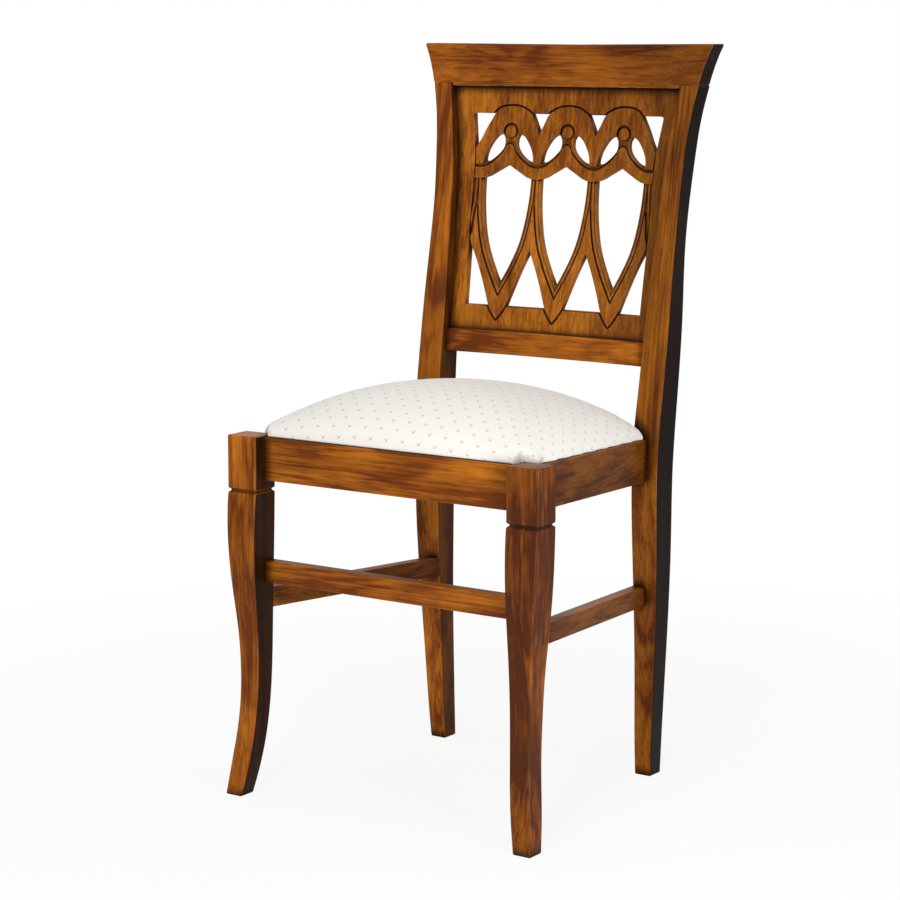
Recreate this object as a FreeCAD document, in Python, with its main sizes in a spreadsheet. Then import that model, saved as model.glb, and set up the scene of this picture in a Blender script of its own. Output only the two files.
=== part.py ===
import FreeCAD, Part
import math
import os
import Sketcher
from FreeCAD import Vector

# Dining chair with a pierced back. Millimetres, +Z up, front towards -Y.
# Outlines are drawn from the chair's centre line, with depth counted backwards
# from the front face of the front legs; face_offset puts the origin on the floor
# under the middle of the whole chair.

doc = FreeCAD.newDocument("DiningChair")

# Driving dimensions
sizes = {
    "overall_height": 950.0,
    "face_offset": 224.5,
    "block_outer": 233.1,
    "block_inner": 187.5,
    "block_depth": 39.0,
    "block_top": 465.0,
    "neck_height": 394.5,
    "neck_groove": 3.0,
    "rail_top": 463.5,
    "rail_height": 55.5,
    "rail_thickness": 22.0,
    "front_rail_setback": 17.3,
    "rear_rail_setback": 350.0,
    "stretcher_height": 26.0,
    "front_stretcher_height": 28.0,
    "stretcher_thickness": 18.0,
    "seat_fall": 0.042,
    "stile_top": 897.6,
    "back_radius": 1700.0,
    "back_lean": 0.147,
    "panel_thickness": 10.0,
    "crest_thickness": 30.0,
    "crest_rounding": 4.0,
    "lower_rail_height": 30.5,
    "lower_rail_thickness": 22.0,
    "pad_length": 354.5,
    "pad_crown": 69.2,
    "pad_edge": 6.0,
    "cover_thickness": 2.0,
    "board_thickness": 12.0,
    "block_height": 34.0,
    "tenon_thickness": 10.0,
    "tenon_height": 40.0,
    "dowel_radius": 4.0,
    "dowel_length": 32.0,
    "screw_radius": 2.0,
    "screw_head_radius": 4.2,
    "screw_head_height": 2.4,
}
dims = doc.addObject("Spreadsheet::Sheet", "Dims")
for row, (alias, value) in enumerate(sizes.items(), start=1):
    dims.set("A%d" % row, alias)
    dims.set("B%d" % row, str(value))
    dims.setAlias("B%d" % row, alias)
doc.recompute()

FALL = sizes["seat_fall"]
LEAN = sizes["back_lean"]
SETBACK = sizes["front_rail_setback"]

# The side members run inwards and slightly downwards towards the back
SIDE_TAPER = (187.5 - 151.7) / (346.0 - 39.0)
STRETCHER_FALL = 0.035

# Fretwork: three equal loops side by side
LOOP_SPACING = 87.8
LOOP_SIDES = (-1, 0, 1)
OPENING_TOP = 857.0
OPENING_BOTTOM = 602.5

# Half outline of the panel board, from its lower edge to its upper edge
PANEL_SIDE = [(160.7, 564), (161.2, 605), (164.2, 690), (166.7, 760), (170.8, 818),
              (176.6, 860), (182.0, 899)]

# Sections of the pad: places along it, and shares of its half width across it
PAD_STATIONS = (0.0, 8.0, 26.0, 60.0, 105.0, 165.0, 235.0, 295.0, 335.0, 354.5)
PAD_SHARES = (1, 0.93, 0.75, 0.4, 0, -0.4, -0.75, -0.93, -1)
TENON_BOTTOM = 415.0

pieces = {}


def seat_height(depth):
    """Height of the tilted seat plane at a distance behind the leg faces."""
    return sizes["rail_top"] - FALL * (depth - SETBACK)


# Helpers for bodies, sketches and booleans
def new_body(name):
    body = doc.addObject("PartDesign::Body", name)
    body.setExpression("Placement.Base.y", "-Dims.face_offset")
    return body


def new_sketch(body, role, name, offset=0.0):
    plane = [item for item in body.Origin.OriginFeatures if item.Role == role][0]
    sketch = body.newObject("Sketcher::SketchObject", name)
    sketch.AttachmentSupport = [(plane, "")]
    sketch.MapMode = "FlatFace"
    sketch.AttachmentOffset = FreeCAD.Placement(Vector(0, 0, offset), FreeCAD.Rotation())
    return sketch


def add_outline(sketch, runs):
    """Closed outline from runs of points: two points make a line, more make a curve."""
    first = sketch.GeometryCount
    for run in runs:
        points = [Vector(u, v, 0) for u, v in run]
        if len(points) == 2:
            sketch.addGeometry(Part.LineSegment(points[0], points[1]), False)
        else:
            curve = Part.BSplineCurve()
            curve.interpolate(points)
            sketch.addGeometry(curve, False)
    last = sketch.GeometryCount - 1
    for index in range(first, last):
        sketch.addConstraint(Sketcher.Constraint("Coincident", index, 2, index + 1, 1))
    sketch.addConstraint(Sketcher.Constraint("Coincident", last, 2, first, 1))


def polygon(points):
    return [[points[i], points[(i + 1) % len(points)]] for i in range(len(points))]


def rectangle(left, right, bottom, top):
    return polygon([(left, bottom), (right, bottom), (right, top), (left, top)])


def flipped(run):
    """The same run on the other side of the centre line, walked the other way."""
    return [(-u, v) for u, v in reversed(run)]


def add_section(sketch, width, front_height, back_height):
    """Rail section in the corner of the sketch, its sizes bound to the sheet."""
    lines = polygon([(0, 0), (20, 0), (20, 30), (0, 30)])
    for start, end in lines:
        sketch.addGeometry(Part.LineSegment(Vector(*start, 0), Vector(*end, 0)), False)
    for index in range(4):
        after = (index + 1) % 4
        sketch.addConstraint(Sketcher.Constraint("Coincident", index, 2, after, 1))
    sketch.addConstraint(Sketcher.Constraint("Coincident", 0, 1, -1, 1))
    sketch.addConstraint(Sketcher.Constraint("Horizontal", 0))
    sketch.addConstraint(Sketcher.Constraint("Vertical", 1))
    sketch.addConstraint(Sketcher.Constraint("Vertical", 3))
    for kind, index, start, end, text in (
        ("DistanceX", 0, 1, 2, width),
        ("DistanceY", 1, 1, 2, back_height),
        ("DistanceY", 3, 2, 1, front_height),
    ):
        number = sketch.addConstraint(Sketcher.Constraint(kind, index, start, index, end, 20.0))
        sketch.setExpression("Constraints[%d]" % number, text)


def pad(body, sketch, length, symmetric=False, reverse=False):
    feature = body.newObject("PartDesign::Pad", sketch.Name + "Pad")
    feature.Profile = sketch
    if symmetric:
        feature.SideType = "Symmetric"
    feature.Reversed = reverse
    feature.setExpression("Length", length)
    sketch.Visibility = False
    return feature


def slanted_pad(body, sketch, direction, span):
    """Pad along a slanted direction; span counts along the direction's unit part."""
    feature = body.newObject("PartDesign::Pad", sketch.Name + "Pad")
    feature.Profile = sketch
    feature.UseCustomVector = True
    feature.Direction = direction
    feature.AlongSketchNormal = False
    feature.setExpression("Length", "(%s) * %.6f" % (span, direction.Length))
    return feature


def pocket_through(body, sketch):
    feature = body.newObject("PartDesign::Pocket", sketch.Name + "Pocket")
    feature.Profile = sketch
    feature.Type = "ThroughAll"
    feature.SideType = "Symmetric"
    sketch.Visibility = False
    return feature


def boolean(kind, name, base, tool):
    feature = doc.addObject("Part::" + kind, name)
    feature.Base = base
    feature.Tool = tool
    return feature


def fused(name, shapes):
    feature = doc.addObject("Part::MultiFuse", name)
    feature.Shapes = shapes
    return feature


def mirrored(name, source):
    feature = doc.addObject("Part::Mirroring", name)
    feature.Source = source
    feature.Base = Vector(0, 0, 0)
    feature.Normal = Vector(1, 0, 0)
    return feature


def keep(name, feature):
    feature.Label = name
    pieces[name] = feature


def sawn_leg(name, front_view, side_view):
    """Leg sawn in two directions: front outline padded, then cut to the side outline."""
    body = new_body(name)
    front = new_sketch(body, "XZ_Plane", name + "Front")
    add_outline(front, front_view)
    pad(body, front, "3 * Dims.block_outer + 300", symmetric=True)
    side = new_sketch(body, "YZ_Plane", name + "Side")
    add_outline(side, rectangle(-600, 600, -20, 980))
    add_outline(side, side_view)
    pocket_through(body, side)
    return body


# Front legs: square block at the seat, then a swelling, tapering curve to the foot
def front_leg():
    outer, inner = sizes["block_outer"], sizes["block_inner"]
    depth, top = sizes["block_depth"], sizes["block_top"]
    neck = sizes["neck_height"]
    front_view = [
        [(207.5, 0), (232.8, 0)],
        [(232.8, 0), (228.6, 40), (223.6, 80), (220.6, 120), (220.4, 165), (222.6, 215),
         (226.8, 260), (230.6, 310), (232.6, 360), (outer, neck)],
        [(outer, neck), (outer, top)],
        [(outer, top), (inner, top)],
        [(inner, top), (inner, neck)],
        [(inner, neck), (188.2, 350), (189.4, 280), (190.1, 210), (191.0, 150),
         (193.2, 100), (196.8, 60), (201.7, 28), (207.5, 0)],
    ]
    side_view = [
        [(-13.4, 0), (12.2, 0)],
        [(12.2, 0), (20.0, 40), (26.6, 80), (31.0, 120), (34.2, 175), (36.0, 240),
         (37.8, 310), (depth, neck)],
        [(depth, neck), (depth, top)],
        [(depth, top), (0, top)],
        [(0, top), (0, neck)],
        [(0, neck), (-3.6, 362), (-4.4, 325), (-2.4, 280), (1.2, 235), (3.8, 190),
         (3.8, 145), (0.8, 100), (-4.2, 58), (-8.6, 28), (-13.4, 0)],
    ]
    body = sawn_leg("FrontLegBlank", front_view, side_view)
    cut = sizes["neck_groove"]
    half, beyond = cut * 0.9, 8.0
    for role, low, high in (("XZ_Plane", inner, outer), ("YZ_Plane", 0.0, depth)):
        groove = new_sketch(body, role, "Neck" + role[:2])
        above, below = neck + half + beyond, neck - half - beyond
        add_outline(groove, polygon([(low - beyond, above), (low + cut, neck), (low - beyond, below)]))
        add_outline(groove, polygon([(high + beyond, above), (high - cut, neck), (high + beyond, below)]))
        pocket_through(body, groove)
    return body


# Rear legs run on upwards as the stiles of the back
def rear_leg():
    top = sizes["stile_top"]
    front_view = [
        [(152.0, 0), (176.0, 0)],
        [(176.0, 0), (179.0, 60), (183.4, 140), (187.6, 225), (190.0, 310), (190.6, 400),
         (192.2, 500), (192.4, 590), (190.9, 670), (190.4, 735), (192.6, 800), (198.0, 860),
         (205.2, top)],
        [(205.2, top), (177.4, top)],
        [(177.4, top), (171.6, 860), (165.6, 815), (161.7, 760), (159.4, 690), (156.4, 610),
         (154.9, 520), (152.2, 420), (152.2, 340), (153.4, 240), (153.2, 120), (152.0, 0)],
    ]
    side_view = [
        [(363.0, 0), (389.6, 0)],
        [(389.6, 0), (387.8, 110), (386.6, 220), (386.4, 330), (387.2, 410), (391.6, 475),
         (398.0, 540), (404.4, 605), (411.6, 690), (421.6, 755), (431.6, 817), (437.9, 862),
         (443.2, top)],
        [(443.2, top), (413.3, top)],
        [(413.3, top), (407.8, 860), (401.2, 815), (393.6, 755), (382.9, 690), (368.8, 602),
         (356.8, 522), (348.8, 465), (345.8, 415), (346.4, 345), (349.6, 270), (353.6, 195),
         (357.2, 110), (360.0, 40), (363.0, 0)],
    ]
    return sawn_leg("RearLegBlank", front_view, side_view)


# Straight members under the seat
def new_tenon(name, corner):
    tenon = doc.addObject("Part::Box", name)
    tenon.setExpression("Height", "Dims.tenon_height")
    tenon.Placement.Base = corner
    return tenon


def side_rail():
    front, back = sizes["block_depth"], 349.4
    body = new_body("SideRail")
    section = new_sketch(body, "XZ_Plane", "SideRailSection")
    add_section(section, "Dims.rail_thickness", "Dims.rail_height", "Dims.rail_height")
    slanted_pad(body, section, Vector(-SIDE_TAPER, 1, -FALL), "%.1f - Dims.block_depth" % back)
    body.setExpression("Placement.Base.x", "Dims.block_inner")
    body.setExpression("Placement.Base.y", "Dims.block_depth - Dims.face_offset")
    body.Placement.Base.z = seat_height(front) - sizes["rail_height"]
    reach, overlap = 8.0, 4.0
    tenon = new_tenon("SideRailTenon", Vector(194, front - reach - sizes["face_offset"], TENON_BOTTOM))
    tenon.setExpression("Length", "Dims.tenon_thickness")
    tenon.Width = reach + overlap
    return fused("SideRailWithTenon", [body, tenon])


def front_rail():
    body = new_body("FrontRail")
    section = new_sketch(body, "YZ_Plane", "FrontRailSection")
    add_section(section, "Dims.rail_thickness", "Dims.rail_height",
                "Dims.rail_height - Dims.rail_thickness * Dims.seat_fall")
    pad(body, section, "2 * Dims.block_inner", symmetric=True)
    body.setExpression("Placement.Base.y", "Dims.front_rail_setback - Dims.face_offset")
    body.setExpression("Placement.Base.z", "Dims.rail_top - Dims.rail_height")
    half = sizes["block_inner"] + 14.0
    cheek = SETBACK + 2.0
    tenon = new_tenon("FrontRailTenon", Vector(-half, cheek - sizes["face_offset"], TENON_BOTTOM))
    tenon.Length = 2 * half
    tenon.setExpression("Width", "Dims.tenon_thickness")
    return fused("FrontRailWithTenon", [body, tenon])


def rear_rail():
    body = new_body("RearRail")
    section = new_sketch(body, "YZ_Plane", "RearRailSection")
    add_section(section, "Dims.rail_thickness", "Dims.rail_height",
                "Dims.rail_height - Dims.rail_thickness * Dims.seat_fall")
    pad(body, section, "320", symmetric=True)
    body.setExpression("Placement.Base.y", "Dims.rear_rail_setback - Dims.face_offset")
    body.Placement.Base.z = seat_height(sizes["rear_rail_setback"]) - sizes["rail_height"]
    return body


def front_stretcher():
    body = new_body("FrontStretcher")
    section = new_sketch(body, "YZ_Plane", "FrontStretcherSection")
    add_section(section, "Dims.stretcher_thickness", "Dims.front_stretcher_height",
                "Dims.front_stretcher_height")
    pad(body, section, "2 * (Dims.block_inner + 10)", symmetric=True)
    body.Placement.Base = Vector(0, 0, 276.5)
    body.setExpression("Placement.Base.y", "19 - Dims.face_offset")
    return body


def side_stretcher():
    front, back = 27.0, 359.0
    body = new_body("SideStretcher")
    section = new_sketch(body, "XZ_Plane", "SideStretcherSection")
    add_section(section, "Dims.stretcher_thickness", "Dims.stretcher_height", "Dims.stretcher_height")
    slanted_pad(body, section, Vector(-SIDE_TAPER, 1, -STRETCHER_FALL), "%.1f" % (back - front))
    body.Placement.Base = Vector(191.6, 0, 241.8)
    body.setExpression("Placement.Base.y", "%.1f - Dims.face_offset" % front)
    return body


# Bowed members of the back: a leaning section swept round an upright axis
def bowed_band(name, low, front, thickness, height):
    """Leaning band; low and front place the lower edge of its front face."""
    body = new_body(name)
    sketch = new_sketch(body, "YZ_Plane", name + "Section")
    depth, rise = 30.0, 60.0
    lean = LEAN * rise
    corners = [(front, low), (front + depth, low)]
    corners += [(front + depth + lean, low + rise), (front + lean, low + rise)]
    for start, end in ((0, 1), (1, 2), (2, 3), (3, 0)):
        line = Part.LineSegment(Vector(*corners[start], 0), Vector(*corners[end], 0))
        sketch.addGeometry(line, False)
    axis = sketch.addGeometry(Part.LineSegment(Vector(-900, 0, 0), Vector(-900, 100, 0)), True)
    for index in range(4):
        sketch.addConstraint(Sketcher.Constraint("Coincident", index, 2, (index + 1) % 4, 1))
    sketch.addConstraint(Sketcher.Constraint("Horizontal", 0))
    sketch.addConstraint(Sketcher.Constraint("Horizontal", 2))
    sketch.addConstraint(Sketcher.Constraint("Vertical", axis))
    for kind, ends, value in (
        ("DistanceX", (-1, 1, 0, 1), "%.1f" % front),
        ("DistanceY", (-1, 1, 0, 1), "%.1f" % low),
        ("DistanceX", (0, 1, 0, 2), thickness),
        ("DistanceX", (3, 1, 2, 1), thickness),
        ("DistanceY", (0, 2, 1, 2), height),
        ("DistanceX", (0, 2, 1, 2), "Dims.back_lean * (%s)" % height),
        ("DistanceX", (axis, 1, 0, 1), "Dims.back_radius"),
    ):
        number = sketch.addConstraint(Sketcher.Constraint(kind, *ends, 100.0))
        sketch.setExpression("Constraints[%d]" % number, value)
    turned = body.newObject("PartDesign::Revolution", name + "Band")
    turned.Profile = sketch
    turned.ReferenceAxis = (sketch, ["Axis0"])
    turned.Midplane = True
    turned.Angle = 20.0
    return body


def trim_to(body, name, outline):
    """Cuts away everything outside a front-view outline."""
    around = new_sketch(body, "XZ_Plane", name)
    add_outline(around, rectangle(-400, 400, 400, 1050))
    add_outline(around, outline)
    pocket_through(body, around)


def panel_blank(name):
    """Panel board with its edges standing in the grooves of stiles and rails."""
    body = bowed_band(name, 560.0, 387.3, "Dims.panel_thickness", "345")
    low_corner, high_corner = PANEL_SIDE[0], PANEL_SIDE[-1]
    trim_to(body, name + "Outline", [
        flipped([low_corner]) + [low_corner],
        PANEL_SIDE,
        [high_corner] + flipped([high_corner]),
        flipped(PANEL_SIDE),
    ])
    return body


def fret_panel():
    """The panel pierced so that arches, scalloped ribbon and pointed loops stand."""
    body = panel_blank("FretPanel")
    cusp, trough = 790.0, 771.2
    scallop = [(0, cusp), (6, 786.5), (14, 782), (22, 777.5), (30, 773.2), (36.5, trough)]
    flank = [(36.5, trough), (35.5, 745), (33, 722), (29.5, 702), (24.5, 683), (17, 664.5), (9, 648),
             (2.5, 636.5), (0, 633.5)]
    lens = [
        [(9, 823.5), (12.5, 830)],
        [(12.5, 830), (20, 828), (28, 820), (33.5, 811), (37, 801), (38, 794.5)],
        [(38, 794.5), (36, 793)],
        [(36, 793), (28, 794.8), (20, 800), (13, 807), (9, 815), (9, 823.5)],
    ]
    loop = [scallop, flank, flipped(flank), flipped(scallop)]

    # Outer side of a loop, from its crossing with the bottom band to the fork between two loops
    splay = [(13, OPENING_BOTTOM), (18.5, 617), (26, 637), (33.5, 655), (40, 669)]
    shoulder = [(14.5, OPENING_TOP), (9, 848), (4, 838.5), (0, 830.5)]

    def moved(runs, distance):
        return [[(u + distance, v) for u, v in run] for run in runs]

    openings = new_sketch(body, "XZ_Plane", "LoopOpenings")
    for number in LOOP_SIDES:
        add_outline(openings, moved(loop, number * LOOP_SPACING))
    pocket_through(body, openings)

    lenses = new_sketch(body, "XZ_Plane", "LensOpenings")
    for number in LOOP_SIDES:
        add_outline(lenses, moved(lens, number * LOOP_SPACING))
        add_outline(lenses, moved([flipped(run) for run in reversed(lens)], number * LOOP_SPACING))
    pocket_through(body, lenses)

    # Between neighbouring loops: a small triangle above and a tall one below
    half = LOOP_SPACING / 2
    left_side = splay + [(half, 677)]
    right_side = [(LOOP_SPACING - u, v) for u, v in reversed(left_side)]
    base = [(LOOP_SPACING - splay[0][0], OPENING_BOTTOM), (splay[0][0], OPENING_BOTTOM)]
    between = new_sketch(body, "XZ_Plane", "BetweenOpenings")
    for start in (-LOOP_SPACING, 0):
        add_outline(between, moved([left_side, right_side, base], start))
        add_outline(between, moved(
            [[(-14.5, OPENING_TOP), (14.5, OPENING_TOP)], shoulder, flipped(shoulder)], start + half))
    pocket_through(body, between)

    # Corners between the outer loops and the frame
    upper = [
        [(147.5, OPENING_TOP), (143.8, 832), (140.6, 811.5)],
        [(140.6, 811.5), (132.5, 823), (125.5, 836), (119, 847), (113.5, OPENING_TOP)],
        [(113.5, OPENING_TOP), (147.5, OPENING_TOP)],
    ]
    outer_side = [(LOOP_SPACING + u, v) for u, v in splay] + [(LOOP_SPACING + 46.5, 681), (138.4, 690)]
    lower = [
        [(LOOP_SPACING + 13, OPENING_BOTTOM), (136.8, OPENING_BOTTOM)],
        [(136.8, OPENING_BOTTOM), (137.4, 650), (138.4, 690)],
        list(reversed(outer_side)),
    ]
    corners = new_sketch(body, "XZ_Plane", "CornerOpenings")
    for runs in (upper, lower):
        add_outline(corners, runs)
        add_outline(corners, [flipped(run) for run in reversed(runs)])
    pocket_through(body, corners)
    return body


def lower_back_rail():
    body = bowed_band("LowerBackRail", 539.5, 376.4, "Dims.lower_rail_thickness", "Dims.lower_rail_height")
    trim_to(body, "LowerRailOutline", rectangle(-162.5, 162.5, 500, 600))
    return body


def crest_rail():
    """Top rail over the stiles, its ends flaring outwards, with a lip between the stiles."""
    low, joint, top = 893.5, sizes["stile_top"], sizes["overall_height"]
    start = 885.0
    body = bowed_band("CrestRail", start, 423.6, "Dims.crest_thickness", "Dims.overall_height - %.1f" % start)
    doc.recompute()
    square = body.Tip
    rims = []
    for index, edge in enumerate(square.Shape.Edges, start=1):
        if edge.BoundBox.ZMin > top - 1 and edge.Length > 300:
            rims.append("Edge%d" % index)
    rounding = body.newObject("PartDesign::Fillet", "CrestRounding")
    rounding.Base = (square, rims)
    rounding.setExpression("Radius", "Dims.crest_rounding")
    end = [(205.2, joint), (210.8, 918), (217.6, 937), (223.6, top)]
    above = top + 20
    lip = 176.2
    trim_to(body, "CrestOutline", [
        [(-lip, low), (lip, low)],
        [(lip, low), (lip, joint)],
        [(lip, joint), (205.2, joint)],
        end,
        [(223.6, top), (223.6, above)],
        [(223.6, above), (-223.6, above)],
        [(-223.6, above), (-223.6, top)],
        flipped(end),
        [(-205.2, joint), (-lip, joint)],
        [(-lip, joint), (-lip, low)],
    ])
    return body


def dowels():
    """Two dowels in each stile top."""
    pegs = []
    for side in (-1, 1):
        for depth in (421.5, 436.0):
            peg = doc.addObject("Part::Cylinder", "CrestDowel")
            peg.setExpression("Radius", "Dims.dowel_radius")
            peg.setExpression("Height", "Dims.dowel_length")
            peg.Placement.Base = Vector(side * 191.0, depth - sizes["face_offset"],
                                        sizes["stile_top"] - sizes["dowel_length"] / 2)
            pegs.append(peg)
    return fused("CrestDowels", pegs)


# Seat pad, drawn level in its own frame and then laid on the falling seat plane
def lay_on_seat(feature, local=Vector(0, 0, 0)):
    tilt = FreeCAD.Rotation(Vector(1, 0, 0), -math.degrees(math.atan(FALL)))
    base = Vector(0, SETBACK - sizes["face_offset"], sizes["rail_top"])
    feature.Placement = FreeCAD.Placement(base + tilt.multVec(local), tilt)


def pad_height(across, along):
    """Crown of the pad, across and along both counted 0 at the middle and 1 at the edge."""
    fall_across = (1 - across ** 2.28) ** 0.6
    fall_along = (1 - along ** 2.48) ** 0.6
    return sizes["pad_crown"] * fall_across * fall_along


def pad_form(name, inset, curved):
    """Crowned block lofted from front to back, then notched for the legs and stiles."""
    body = doc.addObject("PartDesign::Body", name)
    length = sizes["pad_length"]
    middle, edge = 0.42 * length, sizes["pad_edge"] - inset
    steepest = 0.992
    sections = []
    for number, station in enumerate(PAD_STATIONS):
        place = min(max(station, inset), length - inset)
        reach = (middle - station) / middle if station < middle else (station - middle) / (length - middle)
        half = 212.0 - SIDE_TAPER * station - inset
        crown = []
        for share in PAD_SHARES:
            crown.append((half * share, edge + pad_height(abs(share), min(reach, steepest))))
        top = [crown] if curved else [list(pair) for pair in zip(crown, crown[1:])]
        sketch = new_sketch(body, "XZ_Plane", "%sSection%d" % (name, number), -place)
        add_outline(sketch, [
            [(-half, 0), (half, 0)], [(half, 0), (half, edge)], *top, [(-half, edge), (-half, 0)]])
        sections.append(sketch)
    loft = body.newObject("PartDesign::AdditiveLoft", name + "Loft")
    loft.Profile = sections[0]
    loft.Sections = sections[1:]
    loft.Ruled = True
    notches = new_sketch(body, "XY_Plane", name + "Notches")
    clearance = 1.0
    leg_side = sizes["block_inner"] - clearance - inset
    leg_back = sizes["block_depth"] - SETBACK + clearance + inset
    stile_side, stile_front = 150.6 - inset, 327.0 - inset
    outside = 260.0
    for near, low, high in ((leg_side, -20, leg_back), (stile_side, stile_front, length + 20)):
        add_outline(notches, rectangle(near, outside, low, high))
        add_outline(notches, rectangle(-outside, -near, low, high))
    pocket_through(body, notches)
    lay_on_seat(body)
    return body


def seat_parts(screws):
    outer = pad_form("PadOuter", 0.0, curved=True)
    inner = pad_form("PadInner", sizes["cover_thickness"], curved=False)
    slab = doc.addObject("Part::Box", "BoardSlab")
    slab.Length, slab.Width = 500, 420
    below = 5.0
    slab.setExpression("Height", "Dims.board_thickness + %.1f" % below)
    lay_on_seat(slab, Vector(-slab.Length.Value / 2, -20, -below))
    board = boolean("Common", "BoardBlank", inner, slab)
    return {
        "seat_board": boolean("Cut", "SeatBoard", board, screws),
        "seat_foam": boolean("Cut", "SeatFoam", inner, slab),
        "seat_cover": boolean("Cut", "SeatCover", outer, inner),
    }


# Glue blocks in the corners of the seat frame, each with a screw up into the board
BLOCK_SCREWS = {"front": (166.0, 58.0), "rear": (136.0, 334.0)}


def corner_block(place, neighbours):
    outline = {
        "front": [(200, 30), (128, 30), (128, 50), (166, 92), (200, 92)],
        "rear": [(170, 358), (98, 358), (98, 338), (138, 298), (170, 298)],
    }[place]
    name = place.capitalize() + "Block"
    body = doc.addObject("PartDesign::Body", name)
    sketch = new_sketch(body, "XY_Plane", name + "Outline")
    add_outline(sketch, polygon([(x, depth - SETBACK) for x, depth in outline]))
    pad(body, sketch, "Dims.block_height", reverse=True)
    lay_on_seat(body)
    for number, neighbour in enumerate(neighbours):
        body = boolean("Cut", "%sFit%d" % (name, number), body, neighbour)
    return body


def seat_screws():
    low, bite = -sizes["block_height"], 9.0
    parts = []
    for x, depth in BLOCK_SCREWS.values():
        for side in (-1, 1):
            shank = doc.addObject("Part::Cylinder", "SeatScrewShank")
            shank.setExpression("Radius", "Dims.screw_radius")
            shank.setExpression("Height", "Dims.block_height + %.1f" % bite)
            lay_on_seat(shank, Vector(side * x, depth - SETBACK, low))
            head = doc.addObject("Part::Cylinder", "SeatScrewHead")
            head.setExpression("Radius", "Dims.screw_head_radius")
            head.setExpression("Height", "Dims.screw_head_height")
            lay_on_seat(head, Vector(side * x, depth - SETBACK, low - sizes["screw_head_height"]))
            parts += [shank, head]
    return fused("SeatScrews", parts)


def build():
    front_blank = front_leg()
    rear_blank = rear_leg()
    rail_right = side_rail()
    rail_front = front_rail()
    rail_rear = rear_rail()
    bar_front = front_stretcher()
    bar_right = side_stretcher()
    board = panel_blank("PanelBlank")
    rail_lower = lower_back_rail()
    crest = crest_rail()
    pegs = dowels()
    screws = seat_screws()
    doc.recompute()

    # Mortises, housings and grooves are the shapes of the members that stand in them
    in_front_leg = fused("InFrontLeg", [rail_front, rail_right, bar_front, bar_right])
    in_rear_leg = fused("InRearLeg", [rail_rear, rail_right, bar_right, rail_lower, board, pegs])
    leg_front = boolean("Cut", "FrontLegRight", front_blank, in_front_leg)
    leg_rear = boolean("Cut", "RearLegRight", rear_blank, in_rear_leg)
    keep("front_leg_right", leg_front)
    keep("front_leg_left", mirrored("FrontLegLeft", leg_front))
    keep("rear_leg_right", leg_rear)
    keep("rear_leg_left", mirrored("RearLegLeft", leg_rear))
    keep("front_seat_rail", rail_front)
    keep("rear_seat_rail", rail_rear)
    keep("side_seat_rail_right", rail_right)
    keep("side_seat_rail_left", mirrored("SideRailLeft", rail_right))
    keep("front_stretcher", bar_front)
    keep("side_stretcher_right", bar_right)
    keep("side_stretcher_left", mirrored("SideStretcherLeft", bar_right))

    in_crest = fused("InCrest", [board, pegs])
    keep("crest_rail", boolean("Cut", "CrestRailGrooved", crest, in_crest))
    keep("lower_back_rail", boolean("Cut", "LowerRailGrooved", rail_lower, board))
    keep("crest_dowels", pegs)

    for place, neighbours in (
        ("front", (rail_front, rail_right, leg_front, screws)),
        ("rear", (rail_rear, rail_right, leg_rear, screws)),
    ):
        block = corner_block(place, neighbours)
        keep("corner_block_%s_right" % place, block)
        keep("corner_block_%s_left" % place, mirrored(place.capitalize() + "BlockLeft", block))
    keep("seat_screws", screws)
    for name, feature in seat_parts(screws).items():
        keep(name, feature)
    keep("fret_panel", fret_panel())
    doc.recompute()


build()

for item in doc.Objects:
    bad = [word for word in item.State if word in ("Invalid", "Error")]
    if bad:
        raise RuntimeError("%s is %s" % (item.Label, bad))
for name, feature in pieces.items():
    if feature.Shape.isNull() or not feature.Shape.isValid() or not feature.Shape.Solids:
        raise RuntimeError("%s has no valid solid" % name)

os.makedirs("parts", exist_ok=True)
for name, feature in pieces.items():
    feature.Shape.exportStep("parts/%s.step" % name)
    print("%-24s %9.0f mm3, %d solid(s)" % (name, feature.Shape.Volume, len(feature.Shape.Solids)))
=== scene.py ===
import math

import bmesh
import bpy
import numpy as np
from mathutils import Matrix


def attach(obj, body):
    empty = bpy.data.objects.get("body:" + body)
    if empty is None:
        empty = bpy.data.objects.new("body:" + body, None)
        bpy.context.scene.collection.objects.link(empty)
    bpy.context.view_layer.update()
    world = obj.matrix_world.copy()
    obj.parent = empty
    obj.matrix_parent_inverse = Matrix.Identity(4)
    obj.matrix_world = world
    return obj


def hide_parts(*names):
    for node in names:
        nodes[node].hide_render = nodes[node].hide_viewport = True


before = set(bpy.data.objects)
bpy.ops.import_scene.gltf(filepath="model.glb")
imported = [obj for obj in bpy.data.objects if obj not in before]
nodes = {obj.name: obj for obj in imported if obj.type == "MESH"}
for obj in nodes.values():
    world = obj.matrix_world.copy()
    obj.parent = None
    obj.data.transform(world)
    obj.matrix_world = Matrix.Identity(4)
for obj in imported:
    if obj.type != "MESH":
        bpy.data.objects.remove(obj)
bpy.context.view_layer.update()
print("frame loaded,", len(nodes), "nodes")

# Drawing coordinates: millimetres, x from the middle of the chair,
# depth back from the front faces of the front legs, z up from the floor.
faceOffset = 224.5
railTop, railFront, railDeep = 463.5, 17.3, 55.5
seatFall = 0.042
sideTaper = 35.8 / 307.0
neckHeight = 394.5                   # of the groove round each front leg
backLean = 0.147
backRadius = 1700.0
backFaces = {"crest": (423.6, 885.0), "panel": (427.6, 834.0), "lowerRail": (376.4, 539.5)}


def toFrame(points):
    p = np.array(points, float).reshape(-1, 3)
    return np.column_stack((p[:, 0], p[:, 1] - faceOffset, p[:, 2])) / 1000.0


def seatHeight(depth):
    return railTop - seatFall * (depth - railFront)


def bowedDepth(x, z, face):          # depth of a bowed, leaning face
    front, low = backFaces[face]
    return front + backLean * (z - low) - x * x / (2 * backRadius)


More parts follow.
